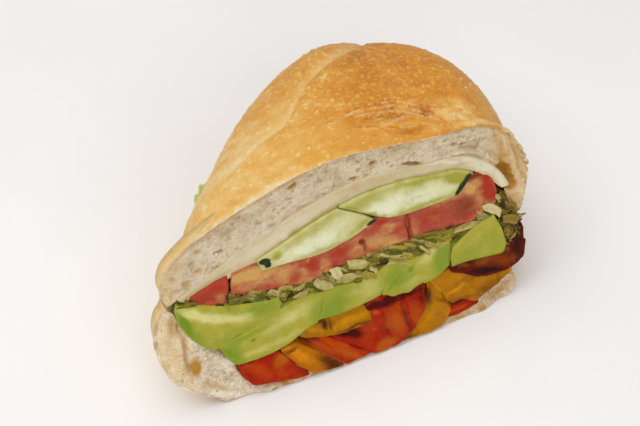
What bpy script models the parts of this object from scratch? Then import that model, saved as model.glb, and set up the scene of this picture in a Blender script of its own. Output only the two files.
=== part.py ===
"""Half of a vegetable sandwich on a crusty roll, cut across and standing on its heel.

+X runs along the cut, +Y from the cut into the roll, +Z up.  The origin is on the flat
underside of the heel.  Every layer is drawn once, as its outline in the cut (s across,
h up), and is then carried back through the roll by one rule, so the layers keep their
order and never cross.  Lengths are in millimetres until a mesh is made.
"""

import math
from collections import namedtuple

import bmesh
import bpy
import numpy as np

MM = 0.001

# The roll: where the cut stands and how the roll closes behind it.
CUT_Y = -38.0                                # front edge of the heel, ahead of the origin
CUT_SLOPE = math.tan(math.radians(18.0))     # the cut leans back by 18 degrees
TIP = 86.7                                   # depth of the roll's end behind the cut's foot
AXIS_S = -9.5                                # where the roll's axis meets the cut
SWEEP = 0.474                                # the axis drifts this much to +X per mm of depth
PLAN_POWERS = (1.76, 1.99)                   # how the plan narrows towards the tip
ROOF_POWERS = (2.0, 3.09)                    # how the crown falls towards the tip
SOLE_START, SOLE_POWER = 0.5, 2.2            # where the heel starts to rise, and how
LEFT_TUCK, LEFT_REACH = 0.152, 36.7          # the sides draw in behind the cut edge
RIGHT_TUCK, RIGHT_REACH = 0.072, 8.0
HALF_SPAN = 60.0
CROWN_LEVEL, FILLING_LEVEL, HEEL_LEVEL = 31.0, 30.0, 29.2   # heights they close to at the tip

# The fillings stop short of the roll's end, and crown and heel meet behind them.
FILLING_END = 0.79
SEAM_START, SEAM_END = 0.80, 0.88
SIDE_SHUTS, SIDE_EASE = (0.0, 0.10), 0.18    # the right side closes: outwards, then up

# Mesh fineness.
CROWN_ROWS, HEEL_ROWS, CLOSED_ROWS, FILLING_ROWS = 20, 17, 6, 5
CROWDING = 2.4                               # how the last sections crowd towards the tip
LAST_ROW = 0.996                             # depth of the last section before the tip
CROWN_POINTS, HEEL_POINTS = (44, 28), (34, 30)
CURVE_STEPS, EDGE_STEPS, ROUTE_STEPS = 400, 120, 60   # where curves are read
SHARP_ANGLE = math.radians(40.0)             # edges sharper than this are not shaded smooth

# The fillings: length of a mesh step, cut corners, rounded front edge, and the most of a
# piece's length and height that these may take.
POINT_SPACING = 6.0
CORNER, CORNER_SHARES = 1.3, (0.3, 0.4)
FRONT_ROUND, FRONT_SHARE = 0.9, 0.2
SAG = 0.6

# Slashes that opened in the crown's crust, as plan curves (x, y from the cut's foot).
Slash = namedtuple("Slash", "route width depth")
SLASHES = (
    Slash([(-50, 36), (-33, 35.5), (-11, 43.5), (5, 57), (22, 69), (40, 81)], 4.2, 2.3),
    Slash([(3, 42), (15, 38.6), (29, 35.5), (36, 28), (41, 19)], 3.4, 1.4),
)
SLASH_FLOOR = CROWN_LEVEL + 8.0              # they reach no lower than this

# The bread, as outlines in the cut.  "behind" replaces the last points of an outline where
# the right-hand side closes.
CROWN_OUTER = [(-62.5, 38.4), (-64.0, 42.3), (-63.2, 46.6), (-60.1, 50.7), (-51.8, 55.6),
               (-39.9, 59.7), (-28, 62.7), (-15, 65.4), (-2, 66.4), (12, 65), (28, 62.6), (44, 61),
               (53, 57.5), (59, 51.5), (61.8, 44.5), (61.6, 38), (59.8, 31.8), (57.6, 27.8)]
CROWN_OUTER_BEHIND = [(62.4, 38), (62.3, 29), (61.2, 22.4)]
CROWN_INNER = [(57.0, 28.2), (56.6, 32.5), (56.7, 37), (55.4, 42.3), (48.7, 49.2), (39, 53.2),
               (25, 55.2), (12, 56.9), (0, 56.7), (-15, 53.6), (-30, 49.1), (-45, 44.4),
               (-57.5, 40.3), (-61, 38.8)]
CROWN_INNER_BEHIND = [(58.8, 22.5), (58.6, 27), (58.2, 33)]

HEEL_OUTER = [(-63.4, 37.2), (-66, 34.6), (-68.2, 30), (-68.6, 25), (-67.6, 19), (-65, 13),
              (-61, 8.5), (-56, 4.6), (-51, 1.4), (-46, 0), (-15, 0), (20, 0), (47, 0),
              (51, 0.8), (53, 3.5), (52.6, 5.5), (51.5, 7.2)]
HEEL_OUTER_BEHIND = [(53, 0.6), (60, 7), (62.2, 14), (61.4, 20.6)]
HEEL_INNER = [(50.4, 7.6), (48, 6.6), (44, 4.7), (38, 2.7), (30, 1.5), (14, 1.4), (-5, 1.4),
              (-22, 1.5), (-33, 2.5), (-40.2, 4.4), (-44.3, 8.1), (-45.7, 12.7), (-47, 15.6),
              (-50.6, 20.1), (-55.2, 23.4), (-58.4, 27.4), (-60.6, 31.5), (-61.8, 36.6)]
HEEL_INNER_BEHIND = [(58.9, 20.4), (58.6, 14.5), (52, 7.2)]

# The fillings: each lies between an under edge and an over edge, both from left to right.
# "proud" is how far the layer stands out of the cut at its under edge; towards the over
# edge a pepper strip falls back by SAG of that.
Filling = namedtuple("Filling", "name colour proud under over")
FILLINGS = [
    Filling("cheese_slice", "cheese", 1.0,
            [(-57, 38.8), (-42, 41.2), (-31, 43.3), (-20, 46.9), (-8, 50.5), (2, 52.8),
             (14, 52.9), (30, 50.6), (41, 48.4), (47, 44.4), (52.2, 38.4)],
            [(-57.5, 39.2), (-45, 43.3), (-30, 48), (-15, 52.5), (0, 55.6), (12, 55.8),
             (25, 54), (38, 51.9), (47, 47.2), (52.3, 42.2), (54.2, 39.2)]),
    Filling("cucumber_slice_right", "cucumber", 1.2,
            [(9, 43.9), (13, 42.4), (21, 41.8), (30, 41.9), (36, 42.7)],
            [(-3, 50.8), (6, 51.9), (18, 51.5), (30, 49.6), (41, 47.6)]),
    Filling("cucumber_slice_left", "cucumber", 1.2,
            [(-31, 40.9), (-24, 40.4), (-13, 39.3), (-4, 40.2), (7.5, 43.2)],
            [(-31.5, 42.6), (-24, 44.9), (-16, 47.4), (-8, 49.6), (-3.8, 50.3)]),
    Filling("tomato_slice_left", "tomato", 1.0,
            [(-54, 36.5), (-49, 35.4), (-44, 35.0)],
            [(-54, 38.2), (-48, 39.5), (-41.5, 40.7)]),
    Filling("tomato_slice_middle", "tomato", 1.0,
            [(-41.5, 36.9), (-37, 35.2), (-29, 33.7), (-16, 31.8), (-6, 32.9), (5, 33.6),
             (17.5, 33.2)],
            [(-40.4, 40.7), (-33.2, 41.7), (-31, 40.1), (-22, 39.4), (-13, 38.5), (-2, 40.0),
             (8, 42.2), (12, 41.5), (17.6, 41.0)]),
    Filling("tomato_slice_right", "tomato", 0.8,
            [(18.6, 33.2), (26, 32.6), (34, 31.9), (41, 31.4), (46, 33.4), (48.2, 35.2)],
            [(18.6, 41.0), (28, 41.1), (35.5, 41.6), (40.5, 44.6), (44.3, 45.0), (48.1, 41.2),
             (49.0, 37.8)]),
    Filling("avocado_slice_1", "avocado", 1.6,
            [(-60.0, 36.0), (-58.4, 30.8), (-55.0, 25.4), (-49.3, 21.4), (-39, 22.9),
             (-28.3, 25.4)],
            [(-60.0, 36.6), (-55, 35.1), (-50, 32.7), (-43, 29.4), (-36, 29.5), (-28.3, 28.2)]),
    Filling("avocado_slice_2", "avocado", 1.8,
            [(-44.8, 14.6), (-43.2, 13.5), (-35, 13.3), (-27, 14.3), (-21.5, 16.4), (-16.9, 17.9)],
            [(-48.5, 20.2), (-38, 22.0), (-27.6, 24.6), (-20, 25.7), (-13.9, 25.2)]),
    Filling("avocado_slice_3", "avocado", 1.4,
            [(-16.1, 18.2), (-10, 17.7), (-3, 17.9), (5.4, 18.5)],
            [(-13, 25.0), (-6, 24.6), (3, 24.3), (9.2, 26.5)]),
    Filling("avocado_slice_4", "avocado", 1.2,
            [(6.6, 18.0), (10, 16.1), (14, 15.8), (19, 16.9), (25, 17.6), (29.8, 19.6)],
            [(10.3, 26.9), (15.5, 25.3), (21, 24.5), (26, 26.5), (30.2, 26.7)]),
    Filling("avocado_slice_5", "avocado", 2.0,
            [(30.7, 20.0), (38, 19.7), (45, 19.3), (48.4, 19.1), (49.1, 22)],
            [(31.3, 25.7), (36, 27.3), (41, 28.7), (45.8, 30.2)]),
    Filling("pepper_strip_1", "pepper_red", 2.8,
            [(-43.0, 8.9), (-40.0, 5.6), (-33, 3.6), (-22.4, 2.4)],
            [(-44.0, 12.5), (-38, 12.5), (-31.8, 11.4)]),
    Filling("pepper_strip_2", "pepper_orange", 3.6,
            [(-21.5, 2.3), (-16, 2.2), (-10.7, 2.2)],
            [(-30.8, 11.8), (-27, 12.1), (-23.9, 12.2)]),
    Filling("pepper_strip_3", "pepper_red", 4.2,
            [(-9.8, 2.2), (-4, 2.2), (-1.1, 2.2)],
            [(-23.1, 12.7), (-18, 12.0), (-13.8, 10.2)]),
    Filling("pepper_strip_4", "pepper_yellow", 2.6,
            [(-20.3, 14.2), (-15, 12.4), (-9, 11.8), (-1.2, 12.8)],
            [(-20.3, 15.4), (-15.5, 17.0), (-8, 16.6), (-1.3, 16.6)]),
    Filling("pepper_strip_5", "pepper_red", 3.6,
            [(-0.3, 2.2), (4, 2.2), (7.8, 2.3), (14.0, 4.7), (17.9, 8.9)],
            [(-12.9, 10.6), (-7, 10.6), (-1.2, 11.4), (0.3, 15.4), (5.5, 16.6), (10, 14.9),
             (14, 14.6), (20.4, 15.9)]),
    Filling("pepper_strip_6", "pepper_amber", 3.4,
            [(9.3, 2.3), (17, 2.2), (23.4, 2.4), (27.9, 6.2)],
            [(15.3, 4.4), (19.1, 8.3), (21.1, 12.5), (22.1, 15.0)]),
    Filling("pepper_strip_7", "pepper_amber", 2.0,
            [(29.2, 7.0), (33.5, 7.1), (38, 4.8), (42.5, 5.9), (50, 9.1)],
            [(22.9, 15.7), (26, 16.5), (31.5, 15.6), (36.5, 12.8), (40.5, 10.7), (50.3, 10.3)]),
    Filling("pepper_strip_8", "pepper_red", 1.6,
            [(25, 2.3), (31, 2.3), (37.2, 3.5)],
            [(28.8, 5.7), (33, 6.1), (36.8, 4.1)]),
    Filling("pepper_strip_9", "pepper_dark", 1.6,
            [(31.6, 17.0), (36.5, 14.2), (41, 11.9), (50.5, 11.4), (56.3, 14.2)],
            [(31.3, 18.7), (38, 18.6), (45, 18.1), (50.5, 17.7), (56.6, 18.3)]),
    Filling("sprouts", "lettuce", 1.4,
            [(50.9, 19.2), (53.8, 19.4), (56.2, 20.2)],
            [(49.2, 32.6), (50.6, 36.1), (52.4, 35.4), (54.2, 29.5)]),
    Filling("lettuce", "lettuce", 1.2,
            [(-58.6, 37.2), (-50, 34.0), (-43, 30.6), (-36, 30.6), (-27.6, 29.0), (-23, 27.0),
             (-13.6, 26.4), (-6, 25.7), (3, 25.4), (9.4, 28.0), (15.5, 26.6), (21, 25.7),
             (26, 27.9), (31, 27.9), (36, 28.7), (41, 29.8), (46.2, 31.2)],
            [(-58.6, 37.9), (-54.6, 37.0), (-49, 34.7), (-44.2, 34.1), (-41.7, 36.0),
             (-37, 34.2), (-29, 32.7), (-16, 30.9), (-6, 31.9), (5, 32.6), (17.5, 32.3),
             (26, 31.7), (34, 31.0), (41, 30.6), (46.4, 32.4)]),
]

# A lettuce leaf pokes out of the seam on the left flank, between these depths.
LEAF_DEPTHS = (0.38, 0.61)
LEAF_ROOT_S, LEAF_EDGE_S, LEAF_REACH = -59.6, -64.5, 6.6
LEAF_H, LEAF_CURL, LEAF_THICK = 37.85, 0.06, 0.5
LEAF_CURL_START = 1.5                        # the curl starts this far inside the edge
LEAF_ENDS = (0.1, 0.9)                       # which part of half a sine wave its edge follows
LEAF_LEVEL, LEAF_POINTS = 30.1, 6

# Colour (linear), roughness.
LOOKS = {
    "crust": ((0.58, 0.31, 0.11), 0.55),
    "crumb": ((0.66, 0.57, 0.43), 0.85),
    "cheese": ((0.78, 0.72, 0.52), 0.45),
    "cucumber": ((0.66, 0.72, 0.40), 0.25),
    "tomato": ((0.60, 0.12, 0.08), 0.25),
    "avocado": ((0.40, 0.48, 0.11), 0.40),
    "lettuce": ((0.36, 0.42, 0.12), 0.40),
    "pepper_red": ((0.56, 0.05, 0.02), 0.25),
    "pepper_orange": ((0.75, 0.27, 0.02), 0.25),
    "pepper_yellow": ((0.78, 0.45, 0.04), 0.25),
    "pepper_amber": ((0.55, 0.24, 0.02), 0.25),
    "pepper_dark": ((0.22, 0.03, 0.02), 0.30),
}


def clear_scene():
    for found in list(bpy.data.objects):
        bpy.data.objects.remove(found, do_unlink=True)


def smooth_step(x):
    x = np.clip(x, 0.0, 1.0)
    return x * x * (3.0 - 2.0 * x)


def curve_through(points, at):
    """A smooth curve through the points (Catmull-Rom), read at parameters from 0 to 1."""
    knots = np.array(points, float)
    last = len(knots) - 1
    steps = np.asarray(at) * last
    index = np.clip(steps.astype(int), 0, last - 1)
    f = (steps - index)[:, None]
    padded = np.vstack([2 * knots[0] - knots[1], knots, 2 * knots[-1] - knots[-2]])
    a, b, c, d = (padded[index + k] for k in range(4))
    return 0.5 * (2 * b + (c - a) * f + (2 * a - 5 * b + 4 * c - d) * f**2
                  + (3 * b - a - 3 * c + d) * f**3)


def even_steps(points, count):
    """Curve parameters (0 to 1) that lie at equal lengths along the curve."""
    steps = np.linspace(0, 1, CURVE_STEPS)
    fine = curve_through(points, steps)
    length = np.concatenate([[0], np.cumsum(np.hypot(*np.diff(fine, axis=0).T))])
    return np.interp(np.linspace(0, length[-1], count), length, steps)


def roof(t):
    return (1 - t**ROOF_POWERS[0])**(1 / ROOF_POWERS[1])


def sole(t):
    rise = np.clip((t - SOLE_START) / (1 - SOLE_START), 0, 1)
    return (1 - rise**SOLE_POWER)**(1 / SOLE_POWER)


def carry(s, h, t, level):
    """Where the point (s, h) of the cut goes at depth t (0 at the cut, 1 at the roll's tip)."""
    s, h, t = np.broadcast_arrays(np.asarray(s, float), np.asarray(h, float), np.asarray(t, float))
    depth = t * (TIP - h * CUT_SLOPE)
    plan = (1 - t**PLAN_POWERS[0])**(1 / PLAN_POWERS[1])
    right = smooth_step((s - AXIS_S + HALF_SPAN) / (2 * HALF_SPAN))
    tuck = (LEFT_TUCK * (1 - right) * smooth_step(depth / LEFT_REACH)
            + RIGHT_TUCK * right * smooth_step(depth / RIGHT_REACH))
    x = AXIS_S + (s - AXIS_S) * plan * (1 - tuck) + SWEEP * depth
    y = CUT_Y + h * CUT_SLOPE + depth
    z = level + (h - level) * np.where(h > level, roof(t), sole(t))
    return np.stack([x, y, z], -1)


def bread_rows(count):
    """Depths for the bread's sections, crowding together where the roll rounds off."""
    hollow = np.linspace(0, SEAM_START, count - CLOSED_ROWS)
    closed = 1 - (1 - np.linspace(0, 1, CLOSED_ROWS + 1)[1:])**CROWDING
    return np.concatenate([hollow, SEAM_START + (LAST_ROW - SEAM_START) * closed])


def look(name):
    colour, rough = LOOKS[name]
    material = bpy.data.materials.new(name)
    material.use_nodes = True
    shader = material.node_tree.nodes["Principled BSDF"]
    shader.inputs["Base Color"].default_value = (*colour, 1.0)
    shader.inputs["Roughness"].default_value = rough
    return material


def add_solid(name, rings, tip, material):
    """A closed solid through rings of points: a flat face on the first, and on the last
    either a flat face or, with a tip, a fan to it."""
    mesh = bmesh.new()
    verts = [[mesh.verts.new(point * MM) for point in ring] for ring in rings]
    count = len(verts[0])
    for row, after in zip(verts[:-1], verts[1:]):
        for k in range(count):
            j = (k + 1) % count
            mesh.faces.new((row[k], row[j], after[j], after[k]))
    mesh.faces.new(verts[0])
    if tip is None:
        mesh.faces.new(verts[-1])
    else:
        point = mesh.verts.new(tip * MM)
        for k in range(count):
            mesh.faces.new((verts[-1][k], verts[-1][(k + 1) % count], point))
    bmesh.ops.triangulate(mesh, faces=mesh.faces[:])
    bmesh.ops.recalc_face_normals(mesh, faces=mesh.faces[:])
    data = bpy.data.meshes.new(name)
    mesh.to_mesh(data)
    mesh.free()
    data.shade_smooth()
    data.set_sharp_from_angle(angle=SHARP_ANGLE)
    data.materials.append(material)
    piece = bpy.data.objects.new(name, data)
    bpy.context.scene.collection.objects.link(piece)
    return piece


def with_behind(front, behind, at_end):
    """The outline deep in the roll: its first or last points give way to the closed side."""
    if at_end:
        return front[:-len(behind)] + behind
    return behind + front[len(behind):]


def bread_rings(outer, outer_behind, inner, inner_behind, points, rows, level):
    """Sections of a bread wall: the outer outline, then the inner one back to the start.
    Behind the fillings the inner outline straightens into the seam."""
    at_wall = even_steps(outer, points[0])
    at_hollow = even_steps(inner, points[1])
    wall_front = curve_through(outer, at_wall)
    wall_behind = curve_through(with_behind(outer, outer_behind, True), at_wall)
    hollow_front = curve_through(inner, at_hollow)
    hollow_behind = curve_through(with_behind(inner, inner_behind, False), at_hollow)
    seam = hollow_behind[0] + (hollow_behind[-1] - hollow_behind[0]) * np.linspace(
        0, 1, points[1])[:, None]
    rings = []
    for t in rows:
        shut = smooth_step((t - np.array(SIDE_SHUTS)) / SIDE_EASE)
        wall = wall_front + (wall_behind - wall_front) * shut
        hollow = hollow_front + (hollow_behind - hollow_front) * shut
        hollow = hollow + (seam - hollow) * smooth_step((t - SEAM_START) / (SEAM_END - SEAM_START))
        section = np.vstack([wall, hollow])
        rings.append(carry(section[:, 0], section[:, 1], t, level))
    return np.array(rings)


def slash_depth(places):
    """How deep the slashes cut at each place: a rounded trough along each route."""
    total = np.zeros(places.shape[:-1])
    for slash in SLASHES:
        route = curve_through(slash.route, np.linspace(0, 1, ROUTE_STEPS))
        gap = places[..., None, :2] - np.array([0, CUT_Y]) - route
        near = np.hypot(gap[..., 0], gap[..., 1]).min(-1)
        total = np.maximum(total, slash.depth * (1 - smooth_step(near / slash.width)))
    return total


def outward(rings):
    """Unit normals of a grid of sections, pointing away from the roll's middle."""
    along = np.gradient(rings, axis=0)
    around = np.gradient(rings, axis=1)
    normal = np.cross(around, along)
    normal /= np.linalg.norm(normal, axis=-1, keepdims=True) + 1e-9
    middle = np.array([AXIS_S, 0.0, FILLING_LEVEL])
    facing = np.sign(((rings - middle) * normal).sum(-1, keepdims=True))
    return normal * facing


def roll_tip(level):
    return carry(0.0, level, 1.0, level)


def make_crown(material):
    rows = bread_rows(CROWN_ROWS)
    rings = bread_rings(CROWN_OUTER, CROWN_OUTER_BEHIND, CROWN_INNER, CROWN_INNER_BEHIND,
                        CROWN_POINTS, rows, CROWN_LEVEL)
    wall = rings[:, :CROWN_POINTS[0]]
    cut_depth = slash_depth(wall) * (wall[..., 2] > SLASH_FLOOR)
    cut_depth[0] = 0.0
    rings[:, :CROWN_POINTS[0]] = wall - outward(wall) * cut_depth[..., None]
    add_solid("crown_bread", rings, roll_tip(CROWN_LEVEL), material)


def make_heel(material):
    rows = bread_rows(HEEL_ROWS)
    rings = bread_rings(HEEL_OUTER, HEEL_OUTER_BEHIND, HEEL_INNER, HEEL_INNER_BEHIND,
                        HEEL_POINTS, rows, HEEL_LEVEL)
    add_solid("heel_bread", rings, roll_tip(HEEL_LEVEL), material)


def filling_outline(filling, shrink=0.0):
    """A closed outline between the two edges, its corners cut to CORNER.  u runs along the
    piece and v from the under edge to the over edge."""
    steps = np.linspace(0, 1, EDGE_STEPS)
    under = curve_through(filling.under, even_steps(filling.under, EDGE_STEPS))
    over = curve_through(filling.over, even_steps(filling.over, EDGE_STEPS))
    length = np.hypot(*np.diff((under + over) / 2, axis=0).T).sum()
    height = np.hypot(*(over - under).T).mean()
    count = max(3, round(length / POINT_SPACING))
    corner_u = min(CORNER / length, CORNER_SHARES[0])
    corner_v = min(CORNER / height, CORNER_SHARES[1])
    edge_u, edge_v = shrink / length, min(shrink / height, FRONT_SHARE)
    low_u, high_u = edge_u, 1 - edge_u
    low_v, high_v = edge_v, 1 - edge_v
    along = np.linspace(low_u + corner_u, high_u - corner_u, count)
    u = np.concatenate([along, [high_u, high_u], along[::-1], [low_u, low_u]])
    v = np.concatenate([np.full(count, low_v), [low_v + corner_v, high_v - corner_v],
                        np.full(count, high_v), [high_v - corner_v, low_v + corner_v]])
    lower = np.stack([np.interp(u, steps, under[:, k]) for k in range(2)], 1)
    upper = np.stack([np.interp(u, steps, over[:, k]) for k in range(2)], 1)
    return lower + (upper - lower) * v[:, None], v


def make_filling(filling, material):
    outline, up = filling_outline(filling)
    face, _ = filling_outline(filling, FRONT_ROUND)
    sag = SAG if filling.colour.startswith("pepper") else 0.0
    forward = np.outer(filling.proud * (1 - sag * up), [0.0, 1.0, 0.0])
    behind = np.array([0.0, FRONT_ROUND, 0.0])
    rings = [carry(face[:, 0], face[:, 1], 0.0, FILLING_LEVEL) - forward,
             carry(outline[:, 0], outline[:, 1], 0.0, FILLING_LEVEL) - forward + behind]
    for t in np.linspace(0, FILLING_END, FILLING_ROWS)[1:]:
        rings.append(carry(outline[:, 0], outline[:, 1], t, FILLING_LEVEL))
    add_solid(filling.name, rings, None, material)


def make_leaf(material):
    """A thin leaf through the seam: flat between the two breads, then curling upwards."""
    rings = []
    depths = np.linspace(*LEAF_DEPTHS, LEAF_POINTS)
    for t, turn in zip(depths, np.linspace(*LEAF_ENDS, LEAF_POINTS)):
        reach = LEAF_REACH * math.sin(math.pi * turn)
        s = np.linspace(LEAF_ROOT_S, LEAF_EDGE_S - reach, LEAF_POINTS)
        h = LEAF_H + LEAF_CURL * np.maximum(LEAF_EDGE_S + LEAF_CURL_START - s, 0)**2
        s_ring = np.concatenate([s, s[::-1]])
        h_ring = np.concatenate([h - LEAF_THICK / 2, h[::-1] + LEAF_THICK / 2])
        rings.append(carry(s_ring, h_ring, t, LEAF_LEVEL))
    add_solid("lettuce_leaf", rings, None, material)


def make_all():
    clear_scene()
    looks = {name: look(name) for name in LOOKS}
    make_crown(looks["crust"])
    make_heel(looks["crumb"])
    for filling in FILLINGS:
        make_filling(filling, looks[filling.colour])
    make_leaf(looks["lettuce"])


make_all()
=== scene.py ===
"""Half of a vegetable sandwich on a crusty roll: the finish of every surface.

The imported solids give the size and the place.  Every layer is drawn as its outline in the cut
(s across, h up, in millimetres) and carried back through the roll by one rule, so the layers
keep their order.  Lengths are in millimetres until a mesh is made.
"""

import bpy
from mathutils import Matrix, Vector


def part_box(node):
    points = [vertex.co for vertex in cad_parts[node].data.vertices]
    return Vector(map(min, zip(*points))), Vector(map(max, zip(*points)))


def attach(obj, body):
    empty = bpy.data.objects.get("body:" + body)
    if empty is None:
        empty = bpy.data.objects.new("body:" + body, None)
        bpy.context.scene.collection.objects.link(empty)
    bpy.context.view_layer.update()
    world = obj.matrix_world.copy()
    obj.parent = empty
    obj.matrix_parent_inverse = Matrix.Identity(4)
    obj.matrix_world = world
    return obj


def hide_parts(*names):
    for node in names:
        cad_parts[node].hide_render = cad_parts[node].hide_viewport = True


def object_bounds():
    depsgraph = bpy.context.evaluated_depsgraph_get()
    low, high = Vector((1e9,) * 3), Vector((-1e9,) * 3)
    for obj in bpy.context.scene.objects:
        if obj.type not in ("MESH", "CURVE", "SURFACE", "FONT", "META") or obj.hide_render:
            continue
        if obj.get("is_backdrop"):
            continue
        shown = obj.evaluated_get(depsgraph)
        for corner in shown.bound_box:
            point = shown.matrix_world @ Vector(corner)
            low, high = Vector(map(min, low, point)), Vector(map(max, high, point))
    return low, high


bl_info = {
    "name": "Vegetable Sandwich Half",
    "version": (1, 0, 0),
    "blender": (4, 5, 0),
    "location": "View3D > Sidebar > Sandwich",
    "description": "Makes the bread, fillings, table top and lights of a cut vegetable sandwich",
    "category": "Object",
}

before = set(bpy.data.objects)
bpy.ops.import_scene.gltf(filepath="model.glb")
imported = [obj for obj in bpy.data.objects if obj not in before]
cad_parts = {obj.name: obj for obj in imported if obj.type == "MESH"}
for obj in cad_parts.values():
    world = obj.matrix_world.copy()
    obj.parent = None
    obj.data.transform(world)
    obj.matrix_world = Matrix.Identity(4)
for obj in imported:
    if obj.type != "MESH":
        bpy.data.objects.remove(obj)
CAD_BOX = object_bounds()

import itertools
import math
from collections import namedtuple

import bmesh
import bpy
import numpy as np
from bpy.props import FloatProperty, FloatVectorProperty, IntProperty, PointerProperty
from mathutils import Vector

MM = 0.001

# The roll: where the cut stands and how the roll closes behind it, as in the solids.
HEEL_LOW, HEEL_HIGH = (np.array(corner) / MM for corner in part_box("heel_bread"))
CUT_Y = HEEL_LOW[1]  # the cut's foot: the heel's front edge
TIP = HEEL_HIGH[1] - HEEL_LOW[1]  # depth of the roll's end behind the foot
CUT_SLOPE = math.tan(math.radians(18.0))  # the cut leans back by 18 degrees
AXIS_S = -9.5  # where the roll's axis meets the cut
SWEEP = 0.474  # the axis drifts this much right per mm of depth
HALF_SPAN = 60.0  # half of the width over which the tucks change
PLAN_POWERS = (1.76, 1.99)  # how the plan narrows towards the tip
ROOF_POWERS = (2.0, 3.09)  # how the crown falls towards the tip
SOLE_START, SOLE_POWER = 0.5, 2.2  # where the heel starts to rise, and how
LEFT_TUCK, LEFT_REACH = 0.152, 36.7  # the sides draw in behind the cut's edge
RIGHT_TUCK, RIGHT_REACH = 0.072, 8.0
CROWN_LEVEL, FILLING_LEVEL, HEEL_LEVEL = 31.0, 30.0, 29.2  # heights they close to at the tip
FILLING_END = 0.79  # depth, as a share, where the fillings end
SEAM_START, SEAM_END = 0.80, 0.88  # depths over which the hollow becomes a seam
SIDE_SHUTS, SIDE_EASE = (0.0, 0.10), 0.18  # the right side closes: outwards, then up

CURVE_STEPS, ROUTE_STEPS = 600, 80  # where outlines and plan routes are read


# --- Curves, noise and grids ------------------------------------------------------------

def linear(code):
    """The linear colour (r, g, b, 1) of an sRGB hex code such as "#C9863D"."""
    srgb = np.array([int(code[k:k + 2], 16) for k in (1, 3, 5)]) / 255
    return (*np.where(srgb <= 0.04045, srgb / 12.92, ((srgb + 0.055) / 1.055)**2.4), 1.0)


def ease(x):
    """0 below 0, 1 above 1, and 3x^2 - 2x^3 between."""
    x = np.clip(x, 0.0, 1.0)
    return x * x * (3.0 - 2.0 * x)


def between(x, rise=1.0, fall=None):
    """A hump over the length from 0 to 1: it rises smoothly within the share rise of its
    start, and falls within the share fall of its end."""
    return ease(x / rise) * ease((1 - x) / (fall or rise))


def flat(x, y):
    """The places (x, y, 0)."""
    return np.stack([x, y, 0 * x], -1)


def curve_through(points, at):
    """A smooth curve through the points (Catmull-Rom), read at parameters from 0 to 1."""
    knots = np.array(points, float)
    last = len(knots) - 1
    steps = np.asarray(at) * last
    index = np.clip(steps.astype(int), 0, last - 1)
    f = (steps - index)[:, None]
    padded = np.vstack([2 * knots[0] - knots[1], knots, 2 * knots[-1] - knots[-2]])
    a, b, c, d = (padded[index + k] for k in range(4))
    return 0.5 * (2 * b + (c - a) * f + (2 * a - 5 * b + 4 * c - d) * f**2
                  + (3 * b - a - 3 * c + d) * f**3)


def even_steps(points, count):
    """Curve parameters (0 to 1) that lie at equal lengths along the curve."""
    steps = np.linspace(0, 1, CURVE_STEPS)
    fine = curve_through(points, steps)
    length = np.concatenate([[0], np.cumsum(np.hypot(*np.diff(fine, axis=0).T))])
    return np.interp(np.linspace(0, length[-1], count), length, steps)


def lattice_values(corner, seed):
    """A repeatable number from 0 to 1 for each whole-number corner (..., 3), by hashing."""
    c = corner.astype(np.int64)
    key = (c[..., 0] * 73856093) ^ (c[..., 1] * 19349663) ^ (c[..., 2] * 83492791)
    key = (key ^ (seed * 265443577)) & 0xFFFFFFFF
    key = ((key ^ (key >> 15)) * 1274126177) & 0xFFFFFFFF
    key = ((key ^ (key >> 13)) * 1103515245) & 0xFFFFFFFF
    return ((key ^ (key >> 16)) & 0xFFFFFF) / 0xFFFFFF


def noise(places, size, seed=0, octaves=1):
    """Smooth noise from -1 to 1: lattice numbers, size mm apart, blended by smooth steps;
    each further octave is half the size and half the strength."""
    total = np.zeros(places.shape[:-1])
    for octave in range(octaves):
        spot = places / (np.asarray(size, float) / 2**octave) + 57.3 * (octave + 1)
        corner = np.floor(spot)
        f = ease(spot - corner)
        layer = np.zeros(places.shape[:-1])
        for step in itertools.product((0, 1), repeat=3):
            weight = np.prod(np.where(step, f, 1 - f), axis=-1)
            layer += weight * lattice_values(corner + step, seed + octave)
        total += (2 * layer - 1) * 0.5**octave
    return total / (2 - 0.5**(octaves - 1))


def bumps(places, size, seed, least):
    """Round bumps, 0 to 1, about scattered points, one in each cell of the given size (mm):
    they fall off with the distance from the nearest point, as a share of that size.  Only the
    points whose own number, from 0 to 1, is above least have one."""
    spot = places / np.asarray(size, float)
    corner = np.floor(spot)
    nearest = np.full(places.shape[:-1], 9.0)
    mark = np.zeros(places.shape[:-1])
    for step in itertools.product((-1, 0, 1), repeat=3):
        cell = corner + step
        shift = np.stack([lattice_values(cell, seed + k) for k in range(3)], -1)
        distance = np.linalg.norm(cell + shift - spot, axis=-1)
        mark = np.where(distance < nearest, lattice_values(cell, seed + 3), mark)
        nearest = np.minimum(nearest, distance)
    return ease((0.5 - nearest) / 0.3) * (mark > least)


def beside(places, route):
    """How far each place (x, y) lies from a plan route, above 0 on its right, and how far
    along it (0 to 1) the nearest point is."""
    line = curve_through(route, np.linspace(0, 1, ROUTE_STEPS))
    heading = np.gradient(line, axis=0)
    gap = places[..., None, :2] - line
    distance = np.hypot(gap[..., 0], gap[..., 1])
    nearest = distance.argmin(-1)
    gap = np.take_along_axis(gap, nearest[..., None, None], -2)[..., 0, :]
    turn = gap[..., 0] * heading[nearest, 1] - gap[..., 1] * heading[nearest, 0]
    return np.hypot(gap[..., 0], gap[..., 1]) * np.sign(turn), nearest / (ROUTE_STEPS - 1)


def roof(t):
    """How much of its height above the seam the crown keeps at depth t."""
    return (1 - t**ROOF_POWERS[0])**(1 / ROOF_POWERS[1])


def sole(t):
    """How much of its depth below the seam the heel keeps at depth t."""
    rise = np.clip((t - SOLE_START) / (1 - SOLE_START), 0, 1)
    return (1 - rise**SOLE_POWER)**(1 / SOLE_POWER)


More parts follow.
